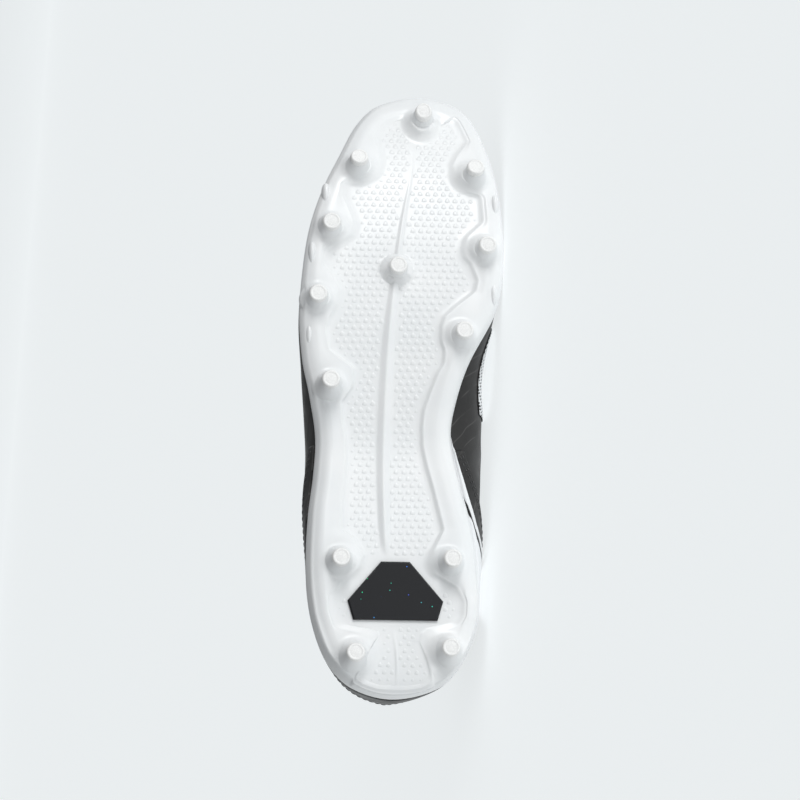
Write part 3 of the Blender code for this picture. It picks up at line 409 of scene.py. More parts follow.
def addRange(material, source, output, low, high, outLow=0.0, outHigh=1.0):
    return addNode(material, "MapRange", [(0, source, output)], in_1=low, in_2=high, in_3=outLow,
                   in_4=outHigh)


def addBump(material, source, output, strength, distance):
    # a bump after any that the shader has already
    node = addNode(material, "Bump", [("Height", source, output)], in_Strength=strength,
                   in_Distance=distance)
    normal = shaderOf(material).inputs["Normal"]
    if normal.is_linked:
        material.node_tree.links.new(normal.links[0].from_socket, node.inputs["Normal"])
    feed(material, node, 0, "Normal")


def addTint(material, share, output, low, high):
    # the base colour, from one tint to the other by a share; a tint is a colour or an earlier tint's node
    node = addNode(material, "Mix", [(0, share, output)], data_type="RGBA")
    for socket, tint in ((6, low), (7, high)):
        if isinstance(tint, tuple):
            node.inputs[socket].default_value = (*tint, 1)
        else:
            material.node_tree.links.new(tint.outputs[2], node.inputs[socket])
    feed(material, node, 2, "Base Color")
    return node


def addMottle(material, scale, low, high, spread=0.15, detail=4.0, place=None):
    # colour that wanders between two tints
    noise = addNoise(material, scale, detail, place)
    return addTint(material, addRange(material, noise, 0, 0.5 - spread, 0.5 + spread), 0, low, high)


def addRoughness(material, scale, low, high, place=None):
    noise = addNoise(material, scale, 5.0, place)
    feed(material, addRange(material, noise, 0, 0.3, 0.7, low, high), 0, "Roughness")


def grain(material, scale, strength, distance=0.0002, detail=6.0, place=None):
    addBump(material, addNoise(material, scale, detail, place), 0, strength, distance)


def whitePlasticMaterial():
    # moulded white plastic: a soft gloss, faint flow marks and a breath of cloudiness
    material = newMaterial("whitePlastic", (0.81, 0.82, 0.825), 0.36, Coat_Weight=0.13, Coat_Roughness=0.28,
                           Subsurface_Weight=0.06, Subsurface_Scale=0.003, IOR=1.5)
    shaderOf(material).inputs["Subsurface Radius"].default_value = (1.0, 0.95, 0.9)
    addMottle(material, 38, (0.80, 0.812, 0.818), (0.835, 0.84, 0.842))
    addRoughness(material, 60, 0.31, 0.42)
    grain(material, 900, 0.05)
    return material


def tipMaterial():
    # stud ends: the same white, matt, with a fine pitted face
    material = newMaterial("studTipWhite", (0.86, 0.85, 0.83), 0.5)
    place = coords(material)
    addMottle(material, 1500, (0.825, 0.82, 0.81), (0.885, 0.88, 0.868), 0.10, 2.0, place)
    grain(material, 1900, 0.28, 0.0003, 3.0, place)
    return material


def glossBlackMaterial():
    # black inlay with fine green and blue glitter under its gloss: the few cells whose own colour is high
    black = (0.008, 0.008, 0.010)
    material = newMaterial("glossBlackInlay", black, 0.22, Coat_Weight=0.15, Coat_Roughness=0.08,
                           Specular_IOR_Level=0.3)
    cells = addCells(material, coords(material), 620.0)
    speck = addRange(material, cells, "Distance", 0.20, 0.12)
    split = addNode(material, "SeparateColor", [(0, cells, "Color")])
    rare = addNode(material, "Math", [(0, split, 0)], operation="GREATER_THAN", in_1=0.93)
    amount = addNode(material, "Math", [(0, speck, 0), (1, rare, 0)], operation="MULTIPLY")
    hue = addTint(material, split, 1, (0.02, 0.75, 0.25), (0.05, 0.12, 0.85))
    addTint(material, amount, 0, black, hue)
    grain(material, 700, 0.06)
    return material


def blackSkinMaterial():
    # thin coated synthetic: near black, satin, with a fine pebble and faint slanting draw lines, which
    # follow the piece's own map in millimetres; in patches the lines are tinted lighter, a painted sheen
    material = newMaterial("blackSynthetic", (0.022, 0.021, 0.021), 0.5, Specular_IOR_Level=0.38)
    place = coords(material)
    mottle = addMottle(material, 26, (0.015, 0.0146, 0.0146), (0.026, 0.0247, 0.0243), 0.15, 5.0, place)
    addRoughness(material, 90, 0.38, 0.56, place)
    lines = addNode(material, "TexWave", [(0, coords(material, "UV", 48), 0)], in_Scale=0.046,
                    in_Distortion=3.0, in_Detail=1.5)
    # painted sheen: the thin draw lines tinted lighter, only where the noise patches show it; the lines'
    # bump is real
    thin = addRange(material, lines, 1, 0.965, 1.0)
    sheenPatches = addRange(material, addNoise(material, 70.0, 2.0, place), 0, 0.42, 0.58, 0.0, 0.42)
    share = addNode(material, "Math", [(0, thin, 0), (1, sheenPatches, 0)], operation="MULTIPLY")
    addTint(material, share, 0, mottle, (0.105, 0.100, 0.098))
    addBump(material, lines, 1, 0.10, 0.0006)
    grain(material, 1300, 0.22, 0.0002, 4.0, place)
    return material


def blackClothMaterial(name, colour, threads):
    # close knit: small cells of thread and a soft sheen
    material = newMaterial(name, colour, 0.86, Sheen_Weight=0.35, Sheen_Roughness=0.4)
    place = coords(material)
    dark, light = (tuple(share * c for c in colour) for share in (0.75, 1.5))
    addMottle(material, 55, dark, light, 0.15, 5.0, place)
    addBump(material, addCells(material, place, threads), "Distance", 0.5, 0.0004)
    grain(material, 2500, 0.25, 0.0002, 3.0, place)
    return material


def whiteFilmMaterial(name, punched):
    # thin white film; punched, it has rows of small holes, laid out in the piece's own map in millimetres
    white = (0.80, 0.81, 0.82)
    material = newMaterial(name, white, 0.38)
    if punched:
        cells = addCells(material, coords(material, "UV", 45, (0.60, 0.36, 0.60)), 1.0, 0.0)
        hole = addRange(material, cells, "Distance", 0.29, 0.34)
        addTint(material, hole, 0, (0.03, 0.03, 0.032), white)
        addBump(material, hole, 0, 0.8, 0.0004)
    grain(material, 1200, 0.12)
    return material


def meshClothMaterial():
    # lining mesh: small open cells on the piece's own map, with a soft sheen
    material = newMaterial("blackMesh", (0.018, 0.018, 0.019), 0.88, Sheen_Weight=0.4, Sheen_Roughness=0.4)
    span = addRange(material, addCells(material, coords(material, "UV"), 0.9, 0.25), "Distance", 0.15, 0.42)
    addTint(material, span, 0, (0.006, 0.006, 0.006), (0.028, 0.028, 0.029))
    addBump(material, span, 0, 0.7, 0.0005)
    grain(material, 2600, 0.2)
    return material


def laceMaterial():
    # flat woven lace: slanting strands both ways on its own map in millimetres
    material = newMaterial("blackLace", (0.022, 0.022, 0.023), 0.8, Sheen_Weight=0.3, Sheen_Roughness=0.4)
    for angle in (35, -35):
        place = coords(material, "UV", angle)
        strand = addNode(material, "TexWave", [(0, place, 0)], in_Scale=0.55, in_Distortion=0.4)
        addBump(material, strand, 1, 0.6, 0.0003)
    grain(material, 2600, 0.25)
    return material


plasticWhite = whitePlasticMaterial()
tipWhite = tipMaterial()
inlayBlack = glossBlackMaterial()
skinBlack = blackSkinMaterial()
clothBlack = blackClothMaterial("blackCloth", (0.020, 0.020, 0.021), 1500.0)
filmWhite = whiteFilmMaterial("whiteFilm", False)
filmPunched = whiteFilmMaterial("punchedFilm", True)
meshBlack = meshClothMaterial()
laceBlack = laceMaterial()
threadBlack = blackClothMaterial("blackThread", (0.03, 0.03, 0.031), 3000.0)
print("materials made")

# Sole plate. Angles are in degrees round the flank's quarter ellipse, from the crest of the rail.
soleLook = dict(stations=1000, railHeight=0.0024, crestInset=0.0076, crestShare=0.74, stepWidth=0.0020,
                grooveDepth=0.00016, grooveWidth=0.00028, flareRadius=0.0112, flareHeight=0.0036,
                flareStretch=1.15, flareTop=0.0060, centreFlare=0.66, blend=0.0014, spineBlend=0.0004,
                spineReach=0.0034, spineRound=(0.015, 0.06), crestLimit=0.62, stepLimit=0.3,
                nearSteps=6, fieldSteps=14, flareClimb=1.15, flareShare=0.6,
                plainInset=0.015, insetRange=(0.002, 0.050), toeInset=0.0135, toeRise=0.02, toeReach=0.12,
                softPlace=1.012, softReach=0.050, softSteps=(14, 8),
                stepShares=(0.0, 0.12, 0.26, 0.42, 0.60, 0.80), bandRows=22,
                lowFlank=(12, 22, 31, 39, 47), highFlank=(54, 61, 68, 74, 80, 85),
                # over the rim and down inside: inset, share of the rim's rise, share of the wall
                inside=[(0.00012, 0.985, 0.0), (0.0004, 1.0, 0.0), (rim["wall"] - 0.0003, 1.0, 0.0),
                        (rim["wall"], 0.96, 0.0), (rim["wall"] + 0.0013, 0.40, 0.8),
                        (rim["foot"] - 0.0003, 0.0, 1.0), (0.016, 0.0, 1.0)])
# how the raised border changes along the shoe: share of the length, height share, width share of its step
borderRows = np.array([(0.00, 0.16, 2.6), (0.04, 0.30, 2.6), (0.12, 0.72, 2.2), (0.20, 0.98, 1.4),
                       (0.45, 1.00, 1.0), (0.58, 0.96, 1.2), (0.72, 0.80, 1.4), (0.86, 0.62, 1.5),
                       (1.00, 0.50, 1.5)])
# inner edge of the raised border, in millimetres in the shoe's frame, from the toe down each side
innerField = [
    (-1.3, 282), (-4.7, 275), (-6.6, 271.5), (-12.2, 270), (-18, 273), (-21.5, 278), (-25.7, 281),
    (-27.5, 279.5), (-31.6, 267.7), (-26.4, 261), (-23.3, 254.5), (-25, 246.3), (-28, 243), (-31.3, 239.5),
    (-35.3, 240), (-36.8, 237), (-37.3, 225), (-29.2, 217), (-27.9, 211), (-28.6, 207), (-31.4, 204),
    (-34.5, 196), (-33.3, 190.5), (-24, 183), (-19.4, 178.5), (-17.8, 174), (-17.8, 166), (-19.5, 162),
    (-19, 155.5), (-16.4, 151.5), (-12.6, 141.5), (-9.9, 133.5), (-9.1, 126), (-9.3, 116), (-11.2, 106.7),
    (-14.2, 95), (-18.4, 76), (-13.2, 66), (-12.3, 60.7), (-13.8, 55.3), (-20, 51.6), (-23.2, 50),
    (-27, 43), (-26.8, 37), (-23.7, 33), (-13, 30.7), (-9.9, 28.4), (-8.4, 21.5), (-9.9, 17.7),
    (-13.8, 13.3), (-13.9, 8.4), (-10, 5.4), (-4, 4.6),
]
outerField = [
    (5.5, 276.3), (9.8, 268.4), (7.5, 261.7), (6.9, 255), (9.5, 247.7), (13.5, 245), (21.5, 243.7),
    (25.1, 241.8), (25.2, 235.6), (23.2, 231), (20.1, 223), (21.7, 216), (31.2, 210), (33.5, 208),
    (33.9, 200.6), (30.3, 196), (27.1, 189.4), (28.7, 182), (32.1, 175.5), (33.6, 170.7), (31.9, 160.6),
    (26.8, 156.8), (20.5, 152.2), (21.1, 143.7), (24.2, 139), (26.1, 136.6), (25.6, 128), (23.9, 120),
    (23.5, 110), (24.2, 98), (25, 90), (25.4, 75.7), (20, 72), (15.1, 64), (17, 58), (23.8, 51.6),
    (29.1, 46), (29.5, 39), (26.8, 31.6), (16.1, 30.3), (10, 28.8), (8.4, 20.5), (11.4, 16), (18.2, 12),
    (19.7, 9.9), (16.5, 6.8), (10, 4.8),
]
fieldOutline = np.array(innerField[::-1] + outerField) / 1000.0


def fieldInset(place):
    # how far in from the edge the border ends: where the inward ray first crosses the field's outline
    start, ray = edgeAt(place)[:, None], -outwardAt(place)[:, None]
    offset = fieldOutline[None] - start
    span = (np.roll(fieldOutline, -1, 0) - fieldOutline)[None]
    cross = ray[..., 0] * span[..., 1] - ray[..., 1] * span[..., 0]
    cross = np.where(np.abs(cross) < 1e-12, 1e-12, cross)
    along = (offset[..., 0] * span[..., 1] - offset[..., 1] * span[..., 0]) / cross
    share = (offset[..., 0] * ray[..., 1] - offset[..., 1] * ray[..., 0]) / cross
    look, (low, high) = soleLook, soleLook["insetRange"]
    hit = np.where((share >= 0) & (share <= 1) & (along > low), along, 1.0).min(1)
    hit = np.where(hit > high, look["plainInset"], hit)
    # round the toe it passes under the toe stud, never behind it
    hit = np.minimum(hit, look["toeInset"] + look["toeRise"] * (np.abs(place - 1) / look["toeReach"]) ** 4)
    for _ in range(2):
        hit = 0.25 * np.roll(hit, 1) + 0.5 * hit + 0.25 * np.roll(hit, -1)
    # beside the toe stud the border runs out softly, as a wide average of itself
    wide = hit
    for reach in look["softSteps"]:
        wide = sum(np.roll(wide, k) for k in range(-reach, reach + 1)) / (2 * reach + 1)
    return mix(hit, wide, bell((place - look["softPlace"]) / look["softReach"], 4))


def smoothMax(a, b, blend):
    # the larger of two heights, rounded over where they are within blend of each other
    h = np.clip(0.5 + 0.5 * (a - b) / blend, 0, 1)
    return b + (a - b) * h + blend * h * (1 - h)


def studFlare(x, y):
    # the fillet round each stud's foot: it climbs towards the stud and is drawn out towards the middle
    look = soleLook
    height = np.zeros_like(x)
    for i, row in enumerate(studs["rows"]):
        centre = row[0] == "centre"
        size, draw = (look["centreFlare"], 1.0) if centre else (1.0, look["flareStretch"])
        dx, dy = x - studFeet[i, 0], y - studFeet[i, 1] - look["flareHeight"] * studAxes[i, 1]
        inward = dx * studInward[i, 0] + dy * studInward[i, 1]
        across = dx * studInward[i, 1] - dy * studInward[i, 0]
        far = np.hypot(inward / np.where(inward > 0, draw, 1.0), across)
        radius = look["flareRadius"] * size
        climb = np.clip((radius - far) / (radius - look["flareTop"]), 0, look["flareClimb"])
        top = look["flareHeight"] * mix(look["flareShare"], 1.0, size)
        height = np.maximum(height, top * climb**2)
    return height


def spineRidge(x, y):
    # a low ridge with a rounded crest, falling away straight to both sides
    middle, height, width = spineAt(y)
    far, (blunt, drop) = np.abs(x - middle) / (0.5 * width), soleLook["spineRound"]
    return height * (1 - np.minimum(1.0, np.sqrt(far**2 + blunt) - drop)).clip(0, 1)


def makeSolePlate():
    # rows of points from the spine out to the rim and down inside it, each a drop below the underside
    look, wall = soleLook, heights["plateWall"]
    place, pair = allRound(look["stations"])
    inset, rise = fieldInset(place), rimHeight(place)
    edge, out = edgeAt(place), outwardAt(place)
    change = through(borderRows, edge[:, 1] / last["length"])
    rail, step = change[:, 0] * look["railHeight"], change[:, 1] * look["stepWidth"]
    border = edge - out * inset[:, None]
    middleY = 0.5 * (border[:, 1] + border[pair, 1])
    middle = np.stack([spineAt(middleY)[0], middleY], -1)
    rows = []

    # the sunk field, from the spine out to the border
    reach = np.linalg.norm(border - middle, axis=1)
    near = np.minimum(look["spineReach"] / np.maximum(reach, 1e-6), 0.5)
    shares = [near * k / look["nearSteps"] for k in range(look["nearSteps"] + 1)]
    shares += [mix(near, 1.0, k / look["fieldSteps"]) for k in range(1, look["fieldSteps"])]
    for share in shares:
        x, y = mix(middle, border, share[:, None]).T
        drop = smoothMax(spineRidge(x, y), studFlare(x, y), look["spineBlend"])
        rows.append(np.stack([x, y, fieldHeight(y) - drop], -1))

    # the raised border, from its inner step out to its crest and over it: the flank is a quarter ellipse
    crest = np.minimum(look["crestInset"], look["crestLimit"] * inset)
    stepIn = np.minimum(step, look["stepLimit"] * inset)
    bandFrom = inset - stepIn
    insets = [inset - stepIn * s for s in look["stepShares"]]
    insets += [mix(bandFrom, crest, k / look["bandRows"]) for k in range(look["bandRows"] + 1)]
    insets += [crest * (1 - math.sin(a)) for a in np.radians(look["lowFlank"])]
    for d in insets:
        slope = mix(look["crestShare"], 1.0, ease((bandFrom - d) / np.maximum(bandFrom - crest, 1e-5)))
        flank = 1 - np.sqrt(1 - np.clip(1 - d / crest, 0, 1) ** 2)
        high = rail * slope * ease((inset - d) / stepIn) - flank * (rail + rise)
        groove = look["grooveDepth"] * bell((inset - d) / look["grooveWidth"])
        x, y = (edge - out * d[:, None]).T
        drop = smoothMax(high - groove, studFlare(x, y), look["blend"])
        rows.append(np.stack([x, y, fieldHeight(y) - drop], -1))

    # the rest of the flank up to the rim, over its edge and down inside to the plate's floor
    for a in np.radians(look["highFlank"]):
        climb = 1 - math.cos(a)
        rows.append(insetPoint(place, crest * (1 - math.sin(a)), climb * rise - (1 - climb) * rail))
    for d, share, lift in look["inside"]:
        rows.append(insetPoint(place, d, share * rise + lift * wall))
    x, y = (0.5 * (rows[-1] + rows[-1][pair]))[:, :2].T
    rows.append(np.stack([x, y, fieldHeight(y) + wall], -1))
    piece = gridPiece("solePlate", [np.stack(rows, 1)], plasticWhite, "white_plastic")
    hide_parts("outsole_plate")


makeSolePlate()
print("sole plate made")

# Studs: bodies with a waisted flank and a rounded shoulder, as shares of the body's length and of the
# foot's radius, and tips with a dished face, in millimetres below the end and past the tip's radius
studLook = dict(
    sides=48, sunk=0.0024, footFlare=0.79, bodyAngle=50, tipAngle=60,
    body=[(0.0, 0.765), (0.06, 0.735), (0.14, 0.690), (0.24, 0.640), (0.36, 0.590), (0.50, 0.540),
          (0.66, 0.490), (0.82, 0.447), (0.94, 0.418), (0.985, 0.405), (1.0, 0.385), (1.0, 0.0)],
    tip=[(2.6, -3.8), (2.6, 0.5), (2.08, 0.6), (0.78, 0.3), (0.35, 0.1), (0.10, -0.15), (0.0, -0.5),
         (0.05, -0.8), (0.22, -1.0), (0.18, -1.3), (0.10, -1.9), (0.08, -3.8)],
)


def makeStuds():
    look, bodies, tips = studLook, [], []
    for i in range(len(studs["rows"])):
        place = studFeet[i], studAxes[i], studInward[i]
        body = studLengths[i] - studs["tipHeight"] - gaps["seat"]
        sunk = -look["sunk"] / body
        rings = np.array([(sunk, 0.0), (sunk, look["footFlare"])] + look["body"]) * (body, studs["foot"])
        bodies.append(turned(*place, rings, look["sides"]))
        rings = np.array(look["tip"]) * (-0.001, 0.001) + (studLengths[i], studs["tipRadius"])
        tips.append(turned(*place, rings, look["sides"]))
    gridPiece("studBodies", bodies, plasticWhite, "white_plastic", look["bodyAngle"])
    for number, tip in enumerate(tips, 1):
        piece = gridPiece(f"studTip{number:02d}", [tip], tipWhite, "stud_tip_white", look["tipAngle"])
        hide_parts(f"stud_tip_{number:02d}")


makeStuds()
print("studs made")

# Small side fins on the flank: share of the length, share of the ball's width, length, width, height
finLook = dict(rows=[(0.804, 0.372, 0.0118, 0.0042, 0.0042), (0.700, 0.440, 0.0128, 0.0040, 0.0046),
                     (0.568, 0.450, 0.0118, 0.0038, 0.0040), (0.792, -0.476, 0.0124, 0.0042, 0.0042),
                     (0.640, -0.461, 0.0116, 0.0040, 0.0042)], sunk=0.0016, fullness=0.18, steps=(20, 24))


def makeFins():
    # each is an egg sunk in the flank: round across, drawn out along the sole, fuller towards the toe
    look, fins = finLook, []
    u = np.linspace(0, math.pi, look["steps"][0])[None, :]
    v = np.linspace(0, 2 * math.pi, look["steps"][1], endpoint=False)[:, None]
    for along, across, length, width, height in look["rows"]:
        x0, y0 = across * last["ball"], along * last["length"]
        x = x0 + 0.5 * width * np.sin(u) * np.cos(v)
        y = y0 + 0.5 * length * (np.cos(u) + look["fullness"] * np.sin(u) ** 2)
        z = float(fieldHeight(y0)) + look["sunk"] - height * np.sin(u) * np.sin(v)
        fins.append(stacked(x, y, z))
    gridPiece("sideFins", fins, plasticWhite, "white_plastic")


makeFins()

# Fine bumps over the sunk field: rings give a share of the radius and of the height
bumpLook = dict(pitchAcross=0.00372, pitchAlong=0.00322, radius=0.00192, height=0.00036, clear=0.0014,
                heelSize=0.84, heelFrom=0.02, heelOver=0.06, edgeSize=0.62, edgeOver=0.0025, roundness=0.74,
                spread=0.045, firstRow=0.004, flareLimit=0.0004, spineClear=0.6,
                rings=[(1.0, -0.20), (0.82, 0.28), (0.60, 0.72), (0.30, 0.98)])
inlayPlace = dict(across=0.024, along=0.161, halfWidth=0.52 * 0.044, halfLength=0.54 * 0.027)


def makeFieldBumps():
    # low rounded pyramids, three-sided with blunt corners, on a triangular lattice inside the outline
    look, inlay = bumpLook, inlayPlace
    rows = np.arange(look["firstRow"], last["length"], look["pitchAlong"])
    columns = np.arange(-look["spread"], look["spread"], look["pitchAcross"])
    x, y = np.meshgrid(columns, rows)
    x = (x + 0.5 * look["pitchAcross"] * (np.arange(len(rows)) % 2)[:, None]).ravel()
    y = y.ravel()
    # inside the outline, by counting crossings, and how far from it
    a, b = fieldOutline, np.roll(fieldOutline, -1, 0)
    crossing = (a[None, :, 1] > y[:, None]) != (b[None, :, 1] > y[:, None])
    slope = (b[:, 0] - a[:, 0]) / np.where(b[:, 1] == a[:, 1], 1e-9, b[:, 1] - a[:, 1])
    left = x[:, None] < a[None, :, 0] + (y[:, None] - a[None, :, 1]) * slope[None]
    inside = (crossing & left).sum(1) % 2 == 1
    p = np.stack([x, y], -1)[:, None]
    share = np.clip(((p - a) * (b - a)).sum(-1) / ((b - a) ** 2).sum(-1), 0, 1)
    far = np.linalg.norm(p - (a + share[..., None] * (b - a)), axis=-1).min(1)
    middle, _, width = spineAt(y)
    offSpine = np.abs(x - middle) > 0.5 * width + look["spineClear"] * look["radius"]
    offInlay = ((np.abs(x - inlay["across"] * last["ball"]) > inlay["halfWidth"])
                | (np.abs(y - inlay["along"] * last["length"]) > inlay["halfLength"]))
    keep = inside & (far > look["clear"]) & offSpine & offInlay & (studFlare(x, y) < look["flareLimit"])
    x, y, far = x[keep], y[keep], far[keep]
    size = mix(look["edgeSize"], 1.0, ease((far - look["clear"]) / look["edgeOver"]))
    size = size * mix(look["heelSize"], 1.0, ease((y - look["heelFrom"]) / look["heelOver"]))
    size = size[:, None]
    angle = np.radians([90, 210, 330])
    corner = np.stack([np.cos(angle), np.sin(angle)], -1)
    outline = np.vstack([corner, -look["roundness"] * corner])[[0, 5, 1, 3, 2, 4]]
    rings = []
    for radius, lift in look["rings"]:
        rx = x[:, None] + outline[None, :, 0] * radius * look["radius"] * size
        ry = y[:, None] + outline[None, :, 1] * radius * look["radius"] * size
        rings.append(np.stack([rx, ry, fieldHeight(ry) - lift * look["height"] * size], -1))
    points, faces = joined(list(np.stack(rings, 2)))
    tall = len(rings)
    caps = np.array([[0, 1, 2, 3], [0, 3, 4, 5]]) * tall
    caps = np.vstack([caps + tall - 1, caps[:, ::-1]])
    capFaces = (caps[None] + (np.arange(len(x)) * 6 * tall)[:, None, None]).reshape(-1, 4)
    newPiece("fieldBumps", points, np.vstack([faces, capFaces]), plasticWhite, "white_plastic")
    print("field bumps:", len(x))


makeFieldBumps()

# Upper. Its top edge by place: share of the length, half width, middle's share of the ball's width, height
topRows = heightTable([
    (0.00, 0.024, 0.0, 0.020, 1.0, "back"), (0.05, 0.033, 0.0102, 0.020, 0.992, "back"),
    (0.10, 0.060, 0.0202, 0.018, 0.945, "back"), (0.16, 0.108, 0.0282, 0.014, 0.840, "back"),
    (0.24, 0.186, 0.0310, 0.008, 1.0, "ankle"), (0.30, 0.245, 0.0301, 0.004, 1.02, "ankle"),
    (0.36, 0.300, 0.0264, 0.000, 0.870, "instep"), (0.405, 0.333, 0.0214, 0.000, 0.968, "instep"),
    (0.44, 0.353, 0.0185, 0.000, 1.0, "instep"), (0.48, 0.392, 0.0170, 0.000, 0.972, "instep"),
    (0.56, 0.486, 0.0150, -0.003, 0.868, "instep"), (0.64, 0.577, 0.01275, -0.010, 1.165, "vamp"),
    (0.70, 0.630, 0.01054, -0.015, 1.080, "vamp"), (0.80, 0.659, 0.00646, -0.018, 1.030, "vamp"),
    (0.90, 0.669, 0.00306, -0.020, 1.008, "vamp"), (1.00, 0.672, 0.0, -0.020, 1.0, "vamp"),
])
# each rib is a cubic from the rim to the top edge: how far its handles stand out on the inner and the outer
# side, the lower one's rise, the upper one's pull to the top edge and its drop below it
ribRows = np.array([
    (0.00, 0.016, 0.016, 0.230, 0.50, 0.280), (0.08, 0.006, -0.014, 0.215, 0.50, 0.255),
    (0.15, 0.022, -0.022, 0.190, 0.50, 0.230), (0.22, 0.050, -0.010, 0.180, 0.45, 0.215),
    (0.30, 0.126, 0.034, 0.153, 0.30, 0.215), (0.36, 0.210, 0.079, 0.140, 0.15, 0.230),
    (0.42, 0.283, 0.089, 0.127, 0.05, 0.250), (0.48, 0.262, 0.068, 0.127, 0.08, 0.205),
    (0.53, 0.185, 0.042, 0.140, 0.15, 0.155), (0.59, 0.090, 0.050, 0.153, 0.25, 0.115),
    (0.65, 0.040, 0.055, 0.165, 0.30, 0.100), (0.75, 0.030, 0.045, 0.165, 0.34, 0.100),
    (0.88, 0.034, 0.038, 0.180, 0.38, 0.105), (1.00, 0.040, 0.040, 0.190, 0.40, 0.115),
])
# the heel counter's top edge: place, share of the rib
counterRows = np.array([(0.00, 0.58), (0.10, 0.57), (0.20, 0.50), (0.28, 0.37), (0.35, 0.20), (0.41, 0.10),
                        (0.50, 0.22), (0.70, 0.34), (1.00, 0.34)])
# creases: place, lean, width, depth, and the shares of the rib that they run between
creaseRows = [(0.700, 0.055, 0.0085, 0.0009, 0.30, 0.98), (0.735, 0.050, 0.0070, 0.0007, 0.36, 0.99),
              (0.768, 0.040, 0.0065, 0.0005, 0.45, 1.00), (0.655, 0.060, 0.0090, 0.0006, 0.20, 0.80),
              (0.560, 0.030, 0.0120, 0.0004, 0.15, 0.70), (0.300, -0.040, 0.0140, 0.0005, 0.30, 0.85)]
upperLook = dict(stations=460, rows=64, wall=0.0018, lastingMargin=0.0140, eyestayWidth=0.0145,
                 overlay=0.0012, collarDepth=0.0220, collarEnd=0.36, collarReach=0.415, eyestayStart=0.43,
                 eyestaySteps=(260, 14), counterReach=0.41, counterSteps=(240, 26), counterFoot=0.0022,
                 counterClear=0.08, footInset=0.0100, turnInset=0.0018, turnRise=(0.90, 0.40), ribSteps=81,
                 sharpAngle=55, overlayAngle=60, rollWidth=0.0005, rollStart=0.25, rollLeast=0.15,
                 mapRound=330.0)
creaseLook = dict(wander=0.004, waves=9, fade=0.15, ridge=0.45, ridgeAt=1.6)
skinGap, overlayWall = gaps["skin"], upperLook["overlay"]
onOverlay = skinGap + overlayWall


def ribCurves(place):
    # the upper's ribs as fine curves, and the length walked along each
    around, side = aroundOf(place), sideOf(place)
    start = insetPoint(place, rim["wall"] + gaps["seat"], rimHeight(place) + gaps["seat"])
    top = through(topRows, around)
    end = np.stack([top[:, 2] * last["ball"] + side * top[:, 1], top[:, 0] * last["length"],
                    base + top[:, 3]], -1)
    shape = through(ribRows, around)
    out = np.where(side < 0, shape[:, 0], shape[:, 1])
    flat = outwardAt(place)
    outward = np.stack([flat[:, 0], flat[:, 1], np.zeros_like(place)], -1) * (out * last["ball"])[:, None]
    low = start + outward
    low[:, 2] = start[:, 2] + shape[:, 2] * heights["instep"]
    high = mix(start, end, shape[:, 3:4]) + outward
    high[:, 2] = end[:, 2] - shape[:, 4] * heights["instep"]
    t = np.linspace(0, 1, upperLook["ribSteps"])[None, :, None]
    curve = start[:, None] * (1 - t) ** 3 + low[:, None] * 3 * t * (1 - t) ** 2
    curve = curve + high[:, None] * 3 * t * t * (1 - t) + end[:, None] * t**3
    steps = np.linalg.norm(np.diff(curve, axis=1), axis=2)
    return curve, np.concatenate([np.zeros((len(place), 1)), np.cumsum(steps, 1)], 1)


def ribLength(place):
    return ribCurves(place)[1][:, -1]


def skinAt(place, shares):
    # points of the outer skin by place round the shoe and share of the rib's length from the rim up
    curve, walked = ribCurves(place)
    target = np.broadcast_to(shares, (len(place), np.shape(shares)[-1])) * walked[:, -1:]
    i = np.clip((walked[:, None, :] <= target[:, :, None]).sum(2) - 1, 0, walked.shape[1] - 2)
    a, b = np.take_along_axis(walked, i, 1), np.take_along_axis(walked, i + 1, 1)
    rows = np.arange(len(place))[:, None]
    return mix(curve[rows, i], curve[rows, i + 1], ((target - a) / (b - a))[..., None])


def bandShare(place):
    # where the band under the top edge starts, as a share of the rib
    look = upperLook
    slide = (aroundOf(place) - look["collarEnd"]) / (look["eyestayStart"] - look["collarEnd"])
    return 1 - mix(look["collarDepth"], look["eyestayWidth"], np.clip(slide, 0, 1)) / ribLength(place)


def counterShare(place):
    # the heel counter's top edge as a share of the rib, kept below the band
    return np.minimum(through(counterRows, aroundOf(place)), bandShare(place) - upperLook["counterClear"])


def creaseDepth(place, shares):
    # soft troughs with a low ridge beside them: at the toes' bend, the throat's foot and the quarter
    around, side = aroundOf(place)[:, None], sideOf(place)[:, None]
    s = np.broadcast_to(shares, (len(place), np.shape(shares)[-1]))
    look, depth = creaseLook, np.zeros_like(s)
    for at, lean, width, deep, low, high in creaseRows:
        line = (around - at + lean * (s - 0.5) + look["wander"] * np.sin(look["waves"] * s + 2 * side))
        line = line / width
        ends = ease((s - low) / look["fade"]) * ease((high - s) / look["fade"])
        depth += deep * ends * (bell(line) - look["ridge"] * bell(line - look["ridgeAt"]))
    return depth


def makeUpper():
    # the skin from the rim up, and its lasting margin turned in over the floor; the wall goes inwards
    look, floor = upperLook, heights["plateWall"] + gaps["margin"]
    place, _ = allRound(look["stations"])
    wallShare, rimShare = look["turnRise"]
    turnIn = wallShare * heights["plateWall"] + rimShare * rimHeight(place) + gaps["seat"]
    insets = look["lastingMargin"], look["footInset"], rim["foot"]
    foot = [insetPoint(place, inset, floor) for inset in insets]
    foot.append(insetPoint(place, rim["wall"] + look["turnInset"], turnIn))
    shares = np.linspace(0, 1, look["rows"])
    skin = skinAt(place, shares)
    skin = skin - gridNormals(skin, True) * creaseDepth(place, shares)[..., None]
    outer = np.concatenate([np.stack(foot, 1), skin], 1)
    inner = outer - gridNormals(outer, True) * look["wall"]
    uv = stacked(place[:, None] * look["mapRound"], walkedUp(outer) * 1000.0)
    piece = shellPiece("upperSkin", outer, inner, True, skinBlack, "black_synthetic", uv,
                       look["sharpAngle"])
    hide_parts("upper")


makeUpper()
print("upper made")


